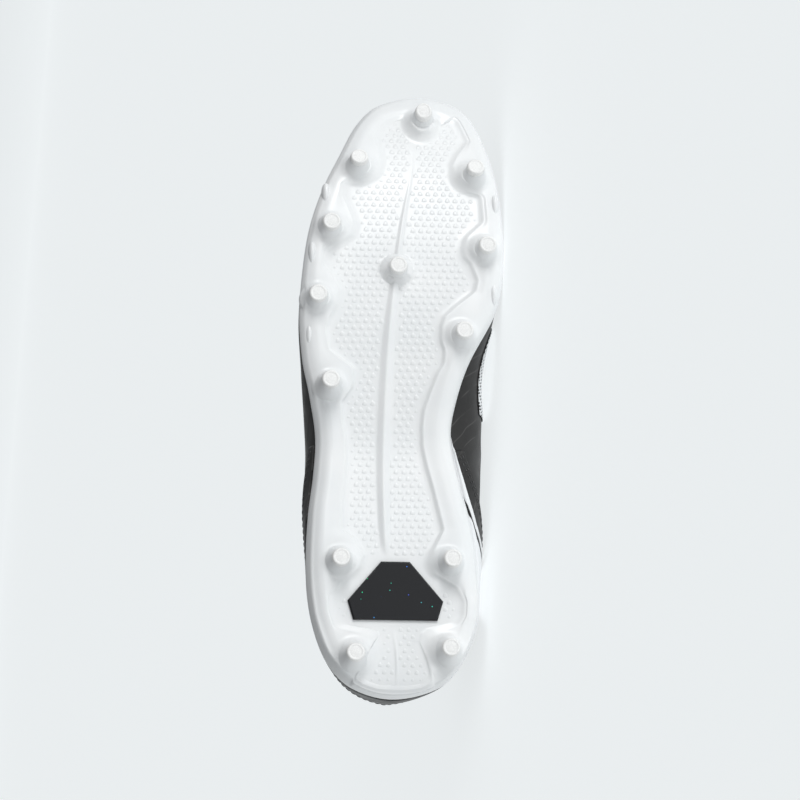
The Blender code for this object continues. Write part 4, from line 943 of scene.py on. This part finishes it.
def overlayPiece(name, places, lowShare, highShare, rows):
    # a thin piece on the skin between two shares, its edges rolled down
    look = upperLook
    shares = mix(lowShare[:, None], highShare[:, None], np.linspace(0, 1, rows)[None])
    skin = skinAt(places, shares)
    normal, span = gridNormals(skin, False), walkedUp(skin)
    ends = np.minimum(np.arange(len(places)), np.arange(len(places))[::-1])[:, None]
    sides = np.minimum(span - span[:, :1], span[:, -1:] - span)
    fall = ease(np.minimum(sides / look["rollWidth"], ends / 2.0) + look["rollStart"])
    outer = skin + normal * (skinGap + overlayWall * np.maximum(look["rollLeast"], fall))[..., None]
    uv = stacked(places[:, None] * look["mapRound"], span * 1000.0)
    return shellPiece(name, outer, skin + normal * skinGap, False, skinBlack, "black_synthetic", uv,
                      look["overlayAngle"])


def makeOverlays():
    look, (count, rows) = upperLook, upperLook["eyestaySteps"]
    place = np.linspace(look["eyestayStart"], 2 - look["eyestayStart"], count)
    stay = overlayPiece("eyestayBand", place, bandShare(place), np.ones(count), rows)
    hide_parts("eyestay")
    count, rows = look["counterSteps"]
    place = np.linspace(2 - look["counterReach"], 2 + look["counterReach"], count)
    foot = look["counterFoot"] / ribLength(place)
    counter = overlayPiece("heelCounter", place, foot, counterShare(place), rows)
    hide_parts("heel_counter")


makeOverlays()
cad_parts["heel_inlay"].data.materials.clear()
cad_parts["heel_inlay"].data.materials.append(inlayBlack)
print("overlays made")

# White film on the inner side: a leaning panel at the heel, parted by a thin dark line, and a punched
# panel. Rows give the share of the rib and the front and back lines along the shoe in millimetres.
filmLook = dict(
    wall=0.00022, lift=0.00012, sunk=0.0001, columns=70, tall=60, crowding=1.5, search=(0.03, 0.97, 500),
    climbTop=0.03, climbFoot=(0.0019, 0.0006), climbFront=(0.003, 0.004),
    panels=dict(
        heelFilmFront=[(0.022, 122.5, 99.0), (0.025, 120.7, 97.8), (0.035, 110.6, 91.6), (0.05, 102.3, 86.1),
                       (0.07, 92.3, 79.8), (0.10, 81.8, 76.6), (0.145, 76.5, 73.3), (0.16, 75.5, 71.7),
                       (0.215, 72.8, 69.6), (0.30, 68.5, 66.5)],
        heelFilmBack=[(0.004, 101.5, 33.0), (0.015, 95.6, 34.0), (0.025, 91.6, 34.5), (0.035, 85.4, 35.0),
                      (0.05, 80.1, 35.5), (0.07, 74.6, 36.0), (0.115, 71.2, 37.0), (0.16, 67.9, 38.0),
                      (0.215, 65.9, 39.0), (0.30, 63.9, 41.0), (0.46, 60.0, 45.0), (0.52, 57.0, 48.0)],
        punchedPanel=[(0.135, 172.0, 163.0), (0.15, 176.0, 156.0), (0.17, 177.0, 150.0),
                      (0.20, 178.0, 142.0), (0.23, 179.0, 136.5), (0.37, 179.0, 135.5),
                      (0.55, 178.0, 139.0), (0.72, 174.0, 144.0), (0.745, 170.0, 148.0)],
    ),
)


def filmPiece(name, rows):
    # a thin sheet on the inner side between a front and a back line; it climbs where it lies on the counter
    look, table = filmLook, np.array(rows)
    columns, tall = look["columns"], look["tall"]
    shares = mix(table[0, 0], table[-1, 0], np.linspace(0, 1, tall) ** look["crowding"])
    front, back = [np.interp(shares, table[:, 0], table[:, k])[:, None] / 1000.0 for k in (1, 2)]
    dense = np.linspace(*look["search"])
    alongShoe = skinAt(dense, shares)[..., 1]
    wanted = mix(back, front, np.linspace(0, 1, columns)[None])
    place = np.stack([np.interp(wanted[j], alongShoe[:, j], dense) for j in range(tall)], 1)
    share = np.broadcast_to(shares[None], place.shape)
    skin = skinAt(place.ravel(), share.reshape(-1, 1)).reshape(columns, tall, 3)
    length = ribLength(place.ravel()).reshape(place.shape)
    (footAt, footOver), (frontPast, frontOver) = look["climbFoot"], look["climbFront"]
    onCounter = ease((counterShare(place.ravel()).reshape(place.shape) - share) / look["climbTop"])
    onCounter *= ease((share * length - footAt) / footOver)
    onCounter *= ease((upperLook["counterReach"] + frontPast - place) / frontOver)
    rise = skinGap + look["lift"] + overlayWall * onCounter
    normal = gridNormals(skin, False)
    outer = skin + normal * (rise + look["wall"])[..., None]
    inner = skin + normal * (rise - look["sunk"])[..., None]
    uv = stacked(skin[..., 1], walkedUp(skin)) * 1000.0
    material = filmPunched if name == "punchedPanel" else filmWhite
    shellPiece(name, outer, inner, False, material, "white_plastic", uv)


for name, rows in filmLook["panels"].items():
    filmPiece(name, rows)
print("films made")

# Collar padding: its rows give a share up the pad and its fullness there
collarLook = dict(
    pad=0.0052, over=0.0012, columns=300, rows=34, wave=(0.04, 210), ends=(16.0, 0.12), lip=(0.93, 0.35),
    full=np.array([(0.0, 0.10), (0.10, 0.34), (0.24, 0.40), (0.31, 0.22), (0.40, 0.55), (0.62, 1.02),
                   (0.82, 0.98), (0.93, 0.68), (1.0, 0.20)]),
)


def makeCollar():
    # a pad inside the ankle: thin at its foot, a stitched trough, then a full roll up to the top edge
    look, count = collarLook, collarLook["columns"]
    (swell, waves), (endRows, endLeast), (lip, lipLean) = look["wave"], look["ends"], look["lip"]
    place = np.linspace(2 - upperLook["collarReach"], 2 + upperLook["collarReach"], count)
    t = np.linspace(0, 1, look["rows"])
    over = 1 + look["over"] / ribLength(place)
    skin = skinAt(place, mix(bandShare(place)[:, None], over[:, None], t[None]))
    normal = gridNormals(skin, False)
    back = upperLook["wall"] + skinGap
    full = look["pad"] * through(look["full"], t)[None] * (1 + swell * np.sin(waves * place))[:, None]
    ends = ease(np.minimum(np.arange(count), np.arange(count)[::-1]) / endRows + endLeast)[:, None]
    lean = np.where(t > lip, lipLean * back * (t - lip) / (1 - lip), 0.0)[None]
    outer = skin - normal * (back - lean)[..., None]
    inner = skin - normal * (back + full * ends)[..., None]
    uv = stacked(place[:, None] * upperLook["mapRound"], t[None] * 1000.0 * upperLook["collarDepth"])
    piece = shellPiece("collarPad", outer, inner, False, meshBlack, "black_cloth", uv)
    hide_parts("collar_lining")


# Tongue, down its middle: share of the length, width share, sag share, thickness share, height
tongueRows = heightTable([
    (0.296, 0.72, 0.080, 0.90, 1.210, "instep"), (0.306, 0.78, 0.090, 1.20, 1.150, "instep"),
    (0.325, 0.78, 0.100, 1.20, 1.070, "instep"), (0.353, 0.80, 0.120, 1.10, 0.990, "instep"),
    (0.392, 0.90, 0.145, 1.05, 0.970, "instep"), (0.485, 0.92, 0.140, 1.00, 0.862, "instep"),
    (0.576, 0.88, 0.135, 1.00, 1.140, "vamp"), (0.625, 0.84, 0.125, 1.00, 1.040, "vamp"),
    (0.665, 0.82, 0.110, 0.80, 0.965, "vamp"), (0.700, 0.80, 0.100, 0.55, 0.880, "vamp"),
])
tongueLook = dict(wall=0.0046, width=0.0490, drop=0.0028, tipRound=0.0095, tipShare=0.45, ends=0.004,
                  steps=(150, 56), crowding=1.35, crown=0.55, edge=0.45, edgeWidth=0.10,
                  seamPlace=0.84, seamWidth=0.030, seamDepth=0.0007, seamEnd=0.6,
                  channelPlace=0.345, channelWidth=0.0045, channelDepth=0.0009, channelFade=0.1)


def makeTongue():
    # a padded strip: crowned across, sagging to its sides, with a stitched border and one soft channel
    look, length = tongueLook, last["length"]
    tall, wide = look["steps"]
    t, s = np.linspace(0, 1, tall)[:, None] ** look["crowding"], np.linspace(-1, 1, wide)[None]
    y = mix(tongueRows[0, 0], tongueRows[-1, 0], t) * length
    row = through(tongueRows, y[:, 0] / length)
    width, sag, wall, height = (row[:, k:k + 1] for k in range(4))
    endFar = np.minimum(y - y[0], y[-1] - y) / look["ends"]
    edge = ease((1 - np.abs(s)) / look["edgeWidth"]) * ease(endFar + 0.10)
    seam = bell((np.abs(s) - look["seamPlace"]) / look["seamWidth"]) * ease(endFar - look["seamEnd"])
    channel = bell((y / length - look["channelPlace"]) / look["channelWidth"])
    channel = channel * ease((look["seamPlace"] - np.abs(s)) / look["channelFade"])
    far = np.clip((y - y[0]) / look["tipRound"], 0, 1)
    x = 0.5 * width * look["width"] * s * mix(look["tipShare"], 1.0, np.sqrt(1 - (1 - far) ** 2))
    z = base + height - look["drop"] - sag * look["width"] * s * s
    thick = wall * look["wall"] * (1 - look["crown"] * s * s)
    thin = look["edge"] * thick * (1 - edge)
    down, top = unit(np.array([0.0, -0.35, -1.0])), stacked(x, y, z)
    outer = top + down * (thin + look["seamDepth"] * seam + look["channelDepth"] * channel)[..., None]
    inner = top + down * (thick - thin)[..., None]
    piece = shellPiece("tonguePad", outer, inner, False, meshBlack, "black_cloth", stacked(x, y) * 1000.0)
    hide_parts("tongue")


# Insole; the rings of its edge give a step in from the inset and a share of the wall
insoleLook = dict(wall=0.0034, inset=0.0082, seat=0.0004, stations=300, top=0.82, middle=0.020,
                  cupShare=0.10, cupFrom=0.014, cupOver=0.0058,
                  edge=[(0.0, 0.0), (-0.0003, 0.3), (-0.0002, 0.8), (0.0004, 1.0), (0.0020, 0.90),
                        (0.0045, 0.84)])


def makeInsole():
    # the sock liner: flat in the middle, its edge turned up a little all round
    look, wall = insoleLook, insoleLook["wall"]
    place, pair = allRound(look["stations"])
    seat = heights["plateWall"] + 2 * gaps["seat"] + upperLook["wall"] + look["seat"]
    edge = [(look["inset"] + step, share) for step, share in look["edge"]]
    rows = []
    for inset, share in [(look["middle"], 0.0)] + edge + [(look["middle"], look["top"])]:
        near = np.clip((look["cupFrom"] - inset) / look["cupOver"], 0, 1)
        cup = look["cupShare"] * rimHeight(place) * near
        rows.append(insetPoint(place, inset, seat + share * wall + cup))

    def towardsMiddle(ring, lift, t):
        x, y = mix(ring, 0.5 * (ring + ring[pair]), t)[:, :2].T
        return np.stack([x, y, fieldHeight(y) + lift], -1)

    under = [towardsMiddle(rows[0], seat, t) for t in (1.0, 0.5)]
    above = [towardsMiddle(rows[-1], seat + look["top"] * wall, t) for t in (0.25, 0.5, 0.75, 1.0)]
    piece = gridPiece("insoleLiner", [np.stack(under + rows + above, 1)], clothBlack, "black_cloth")
    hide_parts("insole")


makeCollar()
makeTongue()
makeInsole()
print("soft parts made")

# Eyelets and lace. The ring's profile is in millimetres above the eyestay and out from the hole's middle.
laceLook = dict(eyelets=(0.462, 0.502, 0.542, 0.582, 0.622, 0.662), inset=0.0072, hole=0.0021, width=0.0066,
                wall=0.0013, arch=0.0010, clearance=0.0008, throatWidth=0.0030, throatWall=0.0022,
                runWidth=0.0050, runWall=0.0010, runClear=0.0006, sides=20, ringSides=28, barSteps=90,
                runSteps=120, runSpots=11, brink=0.25, legSunk=0.0008, legRise=0.0004, legShare=0.28,
                narrowing=0.14, oval=(0.6, 0.8), ringAngle=60, drill=(-0.004, 0.006), drillSides=20,
                ring=[(-0.4, 3.7), (0.18, 3.7), (0.48, 3.4), (0.55, 2.9), (0.40, 2.4), (0.0, 2.2),
                      (-0.9, 2.1), (-0.4, 3.7)])


def skinSpot(side, around, below, stepRound=0.004, stepUp=0.001):
    # a point and its normal on the skin, a distance below the top edge
    place = around + stepRound * np.array([-1.0, 0.0, 1.0])
    place = place if side < 0 else 2 - place
    skin = skinAt(place, 1 - (below + stepUp * np.array([[1.0, 0.0, -1.0]])) / ribLength(place)[:, None])
    return skin[1, 1], unit(-side * np.cross(skin[1, 2] - skin[1, 0], skin[2, 1] - skin[0, 1]))


def curveThrough(points, count):
    # a smooth curve through the points, evenly spaced by the length between them
    reach = walkedAlong(points)
    return through(np.column_stack([reach, points]), np.linspace(0, reach[-1], count))


def ribbon(stops, count, width, wall):
    # a flat band through (point, up) stops, closed at both ends, and its map in millimetres: an oval
    # section, powers of |cos| wide and |sin| thick, carried along a smooth curve
    path = curveThrough(np.array([point for point, _ in stops]), count)
    ups = unit(curveThrough(np.array([up for _, up in stops]), count))
    ahead = unit(np.gradient(path, axis=0))
    across = unit(np.cross(ahead, ups))
    up = np.cross(across, ahead)
    angle = np.linspace(0, 2 * math.pi, laceLook["sides"] + 1)
    parts = zip((np.cos(angle), np.sin(angle)), laceLook["oval"], (width, wall))
    wide, thick = [(np.sign(wave) * np.abs(wave) ** power)[None, :, None]
                   * np.broadcast_to(size, count)[:, None, None] / 2 for wave, power, size in parts]
    grid = path[:, None] + across[:, None] * wide + up[:, None] * thick
    ends = [np.broadcast_to(grid[k, :-1].mean(0), grid[:1].shape) for k in (0, -1)]
    body = np.concatenate([ends[0], grid, ends[1]], 0)
    walked = walkedAlong(body.mean(1))
    return body, stacked(walked[:, None] * 1000, (2 * np.sin(angle / 2)[None] - 1) * 500 * laceLook["width"])


def makeEyeletsAndLace():
    # a ring in each eyelet, a bar from eyelet to eyelet over the throat, and a hidden run down each side
    look = laceLook
    spots = [[skinSpot(side, around, look["inset"]) for side in (-1, 1)] for around in look["eyelets"]]
    holes = [spot for pairOf in spots for spot in pairOf]
    rings = [turned(centre + up * onOverlay, up, unit(np.cross(up, (1.0, 0.0, 0.0))),
                    np.array(look["ring"]) / 1000.0, look["ringSides"]) for centre, up in holes]
    gridPiece("eyeletRings", rings, skinBlack, "black_synthetic", look["ringAngle"])

    ribbons = []
    lift = onOverlay + look["clearance"] + 0.5 * look["wall"]
    for around, pairOf in zip(look["eyelets"], spots):
        legs = []
        for side, (centre, up) in zip((-1, 1), pairOf):
            brink, brinkUp = skinSpot(side, around, look["brink"] * look["inset"])
            legs.append([(centre - up * look["legSunk"], up),
                         (centre + up * (onOverlay + look["legRise"]), up),
                         (mix(centre, brink, look["legShare"]) + up * lift, up),
                         (brink + brinkUp * lift, brinkUp)])
        (leftEnd, leftUp), (rightEnd, rightUp) = legs[0][-1], legs[1][-1]
        middle = 0.5 * (leftEnd + rightEnd) + np.array([0, 0, look["arch"]])
        stops = legs[0] + [(middle, unit(leftUp + rightUp))] + legs[1][::-1]
        t = np.linspace(0, 1, look["barSteps"])
        full = ease(np.minimum(t, 1 - t) / look["narrowing"])
        ribbons.append(ribbon(stops, len(t), mix(look["throatWidth"], look["width"], full),
                              mix(look["throatWall"], look["wall"], full)))
    under = upperLook["wall"] + gaps["seat"] + look["clearance"] + look["runClear"]
    for side in (-1, 1):
        run = [skinSpot(side, around, look["inset"])
               for around in np.linspace(look["eyelets"][0], look["eyelets"][-1], look["runSpots"])]
        stops = [(centre - up * under, up) for centre, up in run]
        ribbons.append(ribbon(stops, look["runSteps"], look["runWidth"], look["runWall"]))
    points, faces = joined([body for body, _ in ribbons], False)
    uv = np.vstack([part.reshape(-1, 2) for _, part in ribbons])
    piece = newPiece("laceBars", points, faces, laceBlack, "black_cloth", uv)
    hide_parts("lace")
    return holes


def cutHoles(piece, holes, radius):
    # round holes through a thin piece, straight along each spot's normal
    low, high = laceLook["drill"]
    drill = [(low, 0.0), (low, radius), (high, radius), (high, 0.0)]
    grids = [turned(centre, up, unit(np.cross(up, (1.0, 0.0, 0.0))), drill, laceLook["drillSides"])
             for centre, up in holes]
    tool = gridPiece("holeTool", grids, skinBlack, "black_synthetic")
    cut = piece.modifiers.new("holes", "BOOLEAN")
    cut.operation, cut.solver, cut.object = "DIFFERENCE", "EXACT", tool
    bpy.context.view_layer.update()
    done = bpy.data.meshes.new_from_object(piece.evaluated_get(bpy.context.evaluated_depsgraph_get()))
    piece.modifiers.clear()
    old, piece.data = piece.data, done
    bpy.data.meshes.remove(old)
    bpy.data.objects.remove(tool)


holes = makeEyeletsAndLace()
cutHoles(bpy.data.objects["eyestayBand"], holes, laceLook["hole"])
print("lace and eyelets made")

# Stitches along the eyestay, the counter and the collar; insets are from the edge that the line follows
stitchLook = dict(length=0.0021, gap=0.0010, width=0.00042, height=0.00030, stayInset=0.0021,
                  stayFoot=0.0022, counterInsets=(0.0020, 0.0036), collarInset=0.0024, collarLift=0.00005,
                  samples=700, ends=dict(eyestay=0.006, counter=0.008, collar=0.006))


def stitchesAlong(points, ups):
    # small lozenges a gap apart along a path: each a short egg sunk by half into the surface
    look, reach = stitchLook, walkedAlong(points)
    at = np.arange(0.5 * look["length"], reach[-1] - 0.5 * look["length"], look["length"] + look["gap"])

    def along(line, shift=0.0):
        return np.stack([np.interp(at + shift, reach, line[:, k]) for k in range(3)], -1)

    centre = along(points)
    ahead, up = unit(along(points, 0.0005) - centre), unit(along(ups))
    u = np.array([0.0, 0.18, 0.5, 0.82, 1.0]) * math.pi
    v = (np.arange(6) * math.pi / 3)[:, None]
    local = stacked(np.cos(u)[None] * look["length"] / 2, np.cos(v) * np.sin(u)[None] * look["width"],
                    np.sin(v) * np.sin(u)[None] * look["height"])
    axes = np.stack([ahead, unit(np.cross(ahead, up)), up], 1)
    return list(centre[:, None, None] + np.einsum("vuk,nkc->nvuc", local, axes))


def skinLine(place, shares, lift, step=0.004):
    # a line of points and normals on the skin
    skin = skinAt(place, shares[:, None] + step * np.array([[-1.0, 0.0, 1.0]]))
    normal = gridNormals(skin, False)[:, 1]
    return skin[:, 1] + normal * lift, normal


def makeStitches():
    look, upper, ends, lines = stitchLook, upperLook, stitchLook["ends"], []
    stayInsets = look["stayInset"], upper["eyestayWidth"] - look["stayFoot"]
    stayReach = 1 - upper["eyestayStart"] - ends["eyestay"]
    counterReach = upper["counterReach"] - ends["counter"]
    collarReach = upper["collarReach"] - ends["collar"]
    for middle, reach, insets, follows, lift in [
            (1, stayReach, stayInsets, np.ones_like, onOverlay),
            (2, counterReach, look["counterInsets"], counterShare, onOverlay),
            (2, collarReach, (look["collarInset"],), np.ones_like, look["collarLift"])]:
        place = np.linspace(middle - reach, middle + reach, look["samples"])
        lines += [skinLine(place, follows(place) - below / ribLength(place), lift) for below in insets]
    stitches = [grid for line, ups in lines for grid in stitchesAlong(line, ups)]
    gridPiece("seamStitches", stitches, threadBlack, "black_cloth")
    print("stitches:", len(stitches))


makeStitches()

# Floor, light and camera
stageLook = dict(floor=(0.27, 0.28, 0.285), glowTint=(0.80, 0.83, 0.84), glow=0.905, wallShare=0.80,
                 glowHeight=0.7, world=(0.90, 0.93, 0.95), worldStrength=0.285, flat=(0.001, 0.5, 3.0),
                 radius=11.0, bend=1.6, bendSteps=13, wallTop=2.2, sides=64)
# lights: place, size, power
lights = dict(key=((5.4, -7.0, 1.0), (4.0, 1.8), 352), fill=((-2.6, -4.2, 0.6), (2.4, 1.0), 20))


def makeStage():
    # a pale round floor that bends up into a low wall all round; its glow dims a little with height
    look, scene = stageLook, bpy.context.scene
    angle = (2 * math.pi * np.arange(look["sides"]) / look["sides"])[:, None]
    profile = [(far, 0.0) for far in look["flat"]]
    profile += [(look["radius"] + look["bend"] * math.sin(a), look["bend"] * (1 - math.cos(a)))
                for a in np.radians(np.linspace(0, 90, look["bendSteps"]))]
    profile += [(look["radius"] + look["bend"], look["wallTop"])]
    far, high = np.array(profile).T
    grid, tall = stacked(np.cos(angle) * far, np.sin(angle) * far, high[None]), len(high)
    faces = gridFaces(look["sides"], tall, True).tolist() + [list(range(0, look["sides"] * tall, tall))]
    mesh = bpy.data.meshes.new("paleSweep")
    mesh.from_pydata(grid.reshape(-1, 3).tolist(), [], faces)
    mesh.shade_smooth()
    floor = bpy.data.objects.new("paleSweep", mesh)
    scene.collection.objects.link(floor)
    pale = newMaterial("paleFloor", look["floor"], 0.9, Specular_IOR_Level=0.2)
    shaderOf(pale).inputs["Emission Color"].default_value = (*look["glowTint"], 1)
    height = addNode(pale, "SeparateXYZ", [(0, coords(pale), 0)])
    dimmed = look["glow"] * look["wallShare"]
    glow = addRange(pale, height, "Z", 0.0, look["glowHeight"], look["glow"], dimmed)
    feed(pale, glow, 0, "Emission Strength")
    mesh.materials.append(pale)
    scene.world = bpy.data.worlds.new("paleRoom")
    scene.world.use_nodes = True
    sky = scene.world.node_tree.nodes["Background"]
    sky.inputs[0].default_value = (*look["world"], 1)
    sky.inputs[1].default_value = look["worldStrength"]


def placed(name, data, axes, place):
    # an object of a light or camera, with its three axes and its place
    thing = bpy.data.objects.new(name, data)
    bpy.context.scene.collection.objects.link(thing)
    matrix = np.eye(4)
    matrix[:3, :3], matrix[:3, 3] = np.stack(axes, 1), place
    thing.matrix_world = Matrix(matrix.tolist())
    return thing


def aimed(place, aim, upright):
    # right, up and back of something at a place that looks at its aim
    back = unit(np.array(place, float) - np.array(aim, float))
    right = unit(np.cross(upright, back))
    return [right, np.cross(back, right), back]


def makeLight(name, place, size, power):
    data = bpy.data.lights.new(name, "AREA")
    data.shape = "RECTANGLE"
    data.size, data.size_y = size
    data.energy = power
    placed(name, data, aimed(place, (0, 0, 0.05), (0.0, 0.0, 1.0)), place)


def makeCamera():
    # the photograph's view in the shoe's frame, turned with the shoe
    view = dict(eye=(0.1118, -0.1190, -1.0487), target=(0.0, 0.1378, 0.015), focalPixels=2354.0,
                pixels=800.0)
    data = bpy.data.cameras.new("photoView")
    data.sensor_width = 36.0
    data.lens = data.sensor_width * view["focalPixels"] / view["pixels"]
    axes = [turn @ axis for axis in aimed(view["eye"], view["target"], (0.0, 1.0, 0.0))]
    bpy.context.scene.camera = placed("photoView", data, axes, toRow(view["eye"]))


makeStage()
for name, (place, size, power) in lights.items():
    makeLight(name, place, size, power)
makeCamera()
bpy.context.scene.view_settings.view_transform = "Standard"
print("stage, lights and camera made")
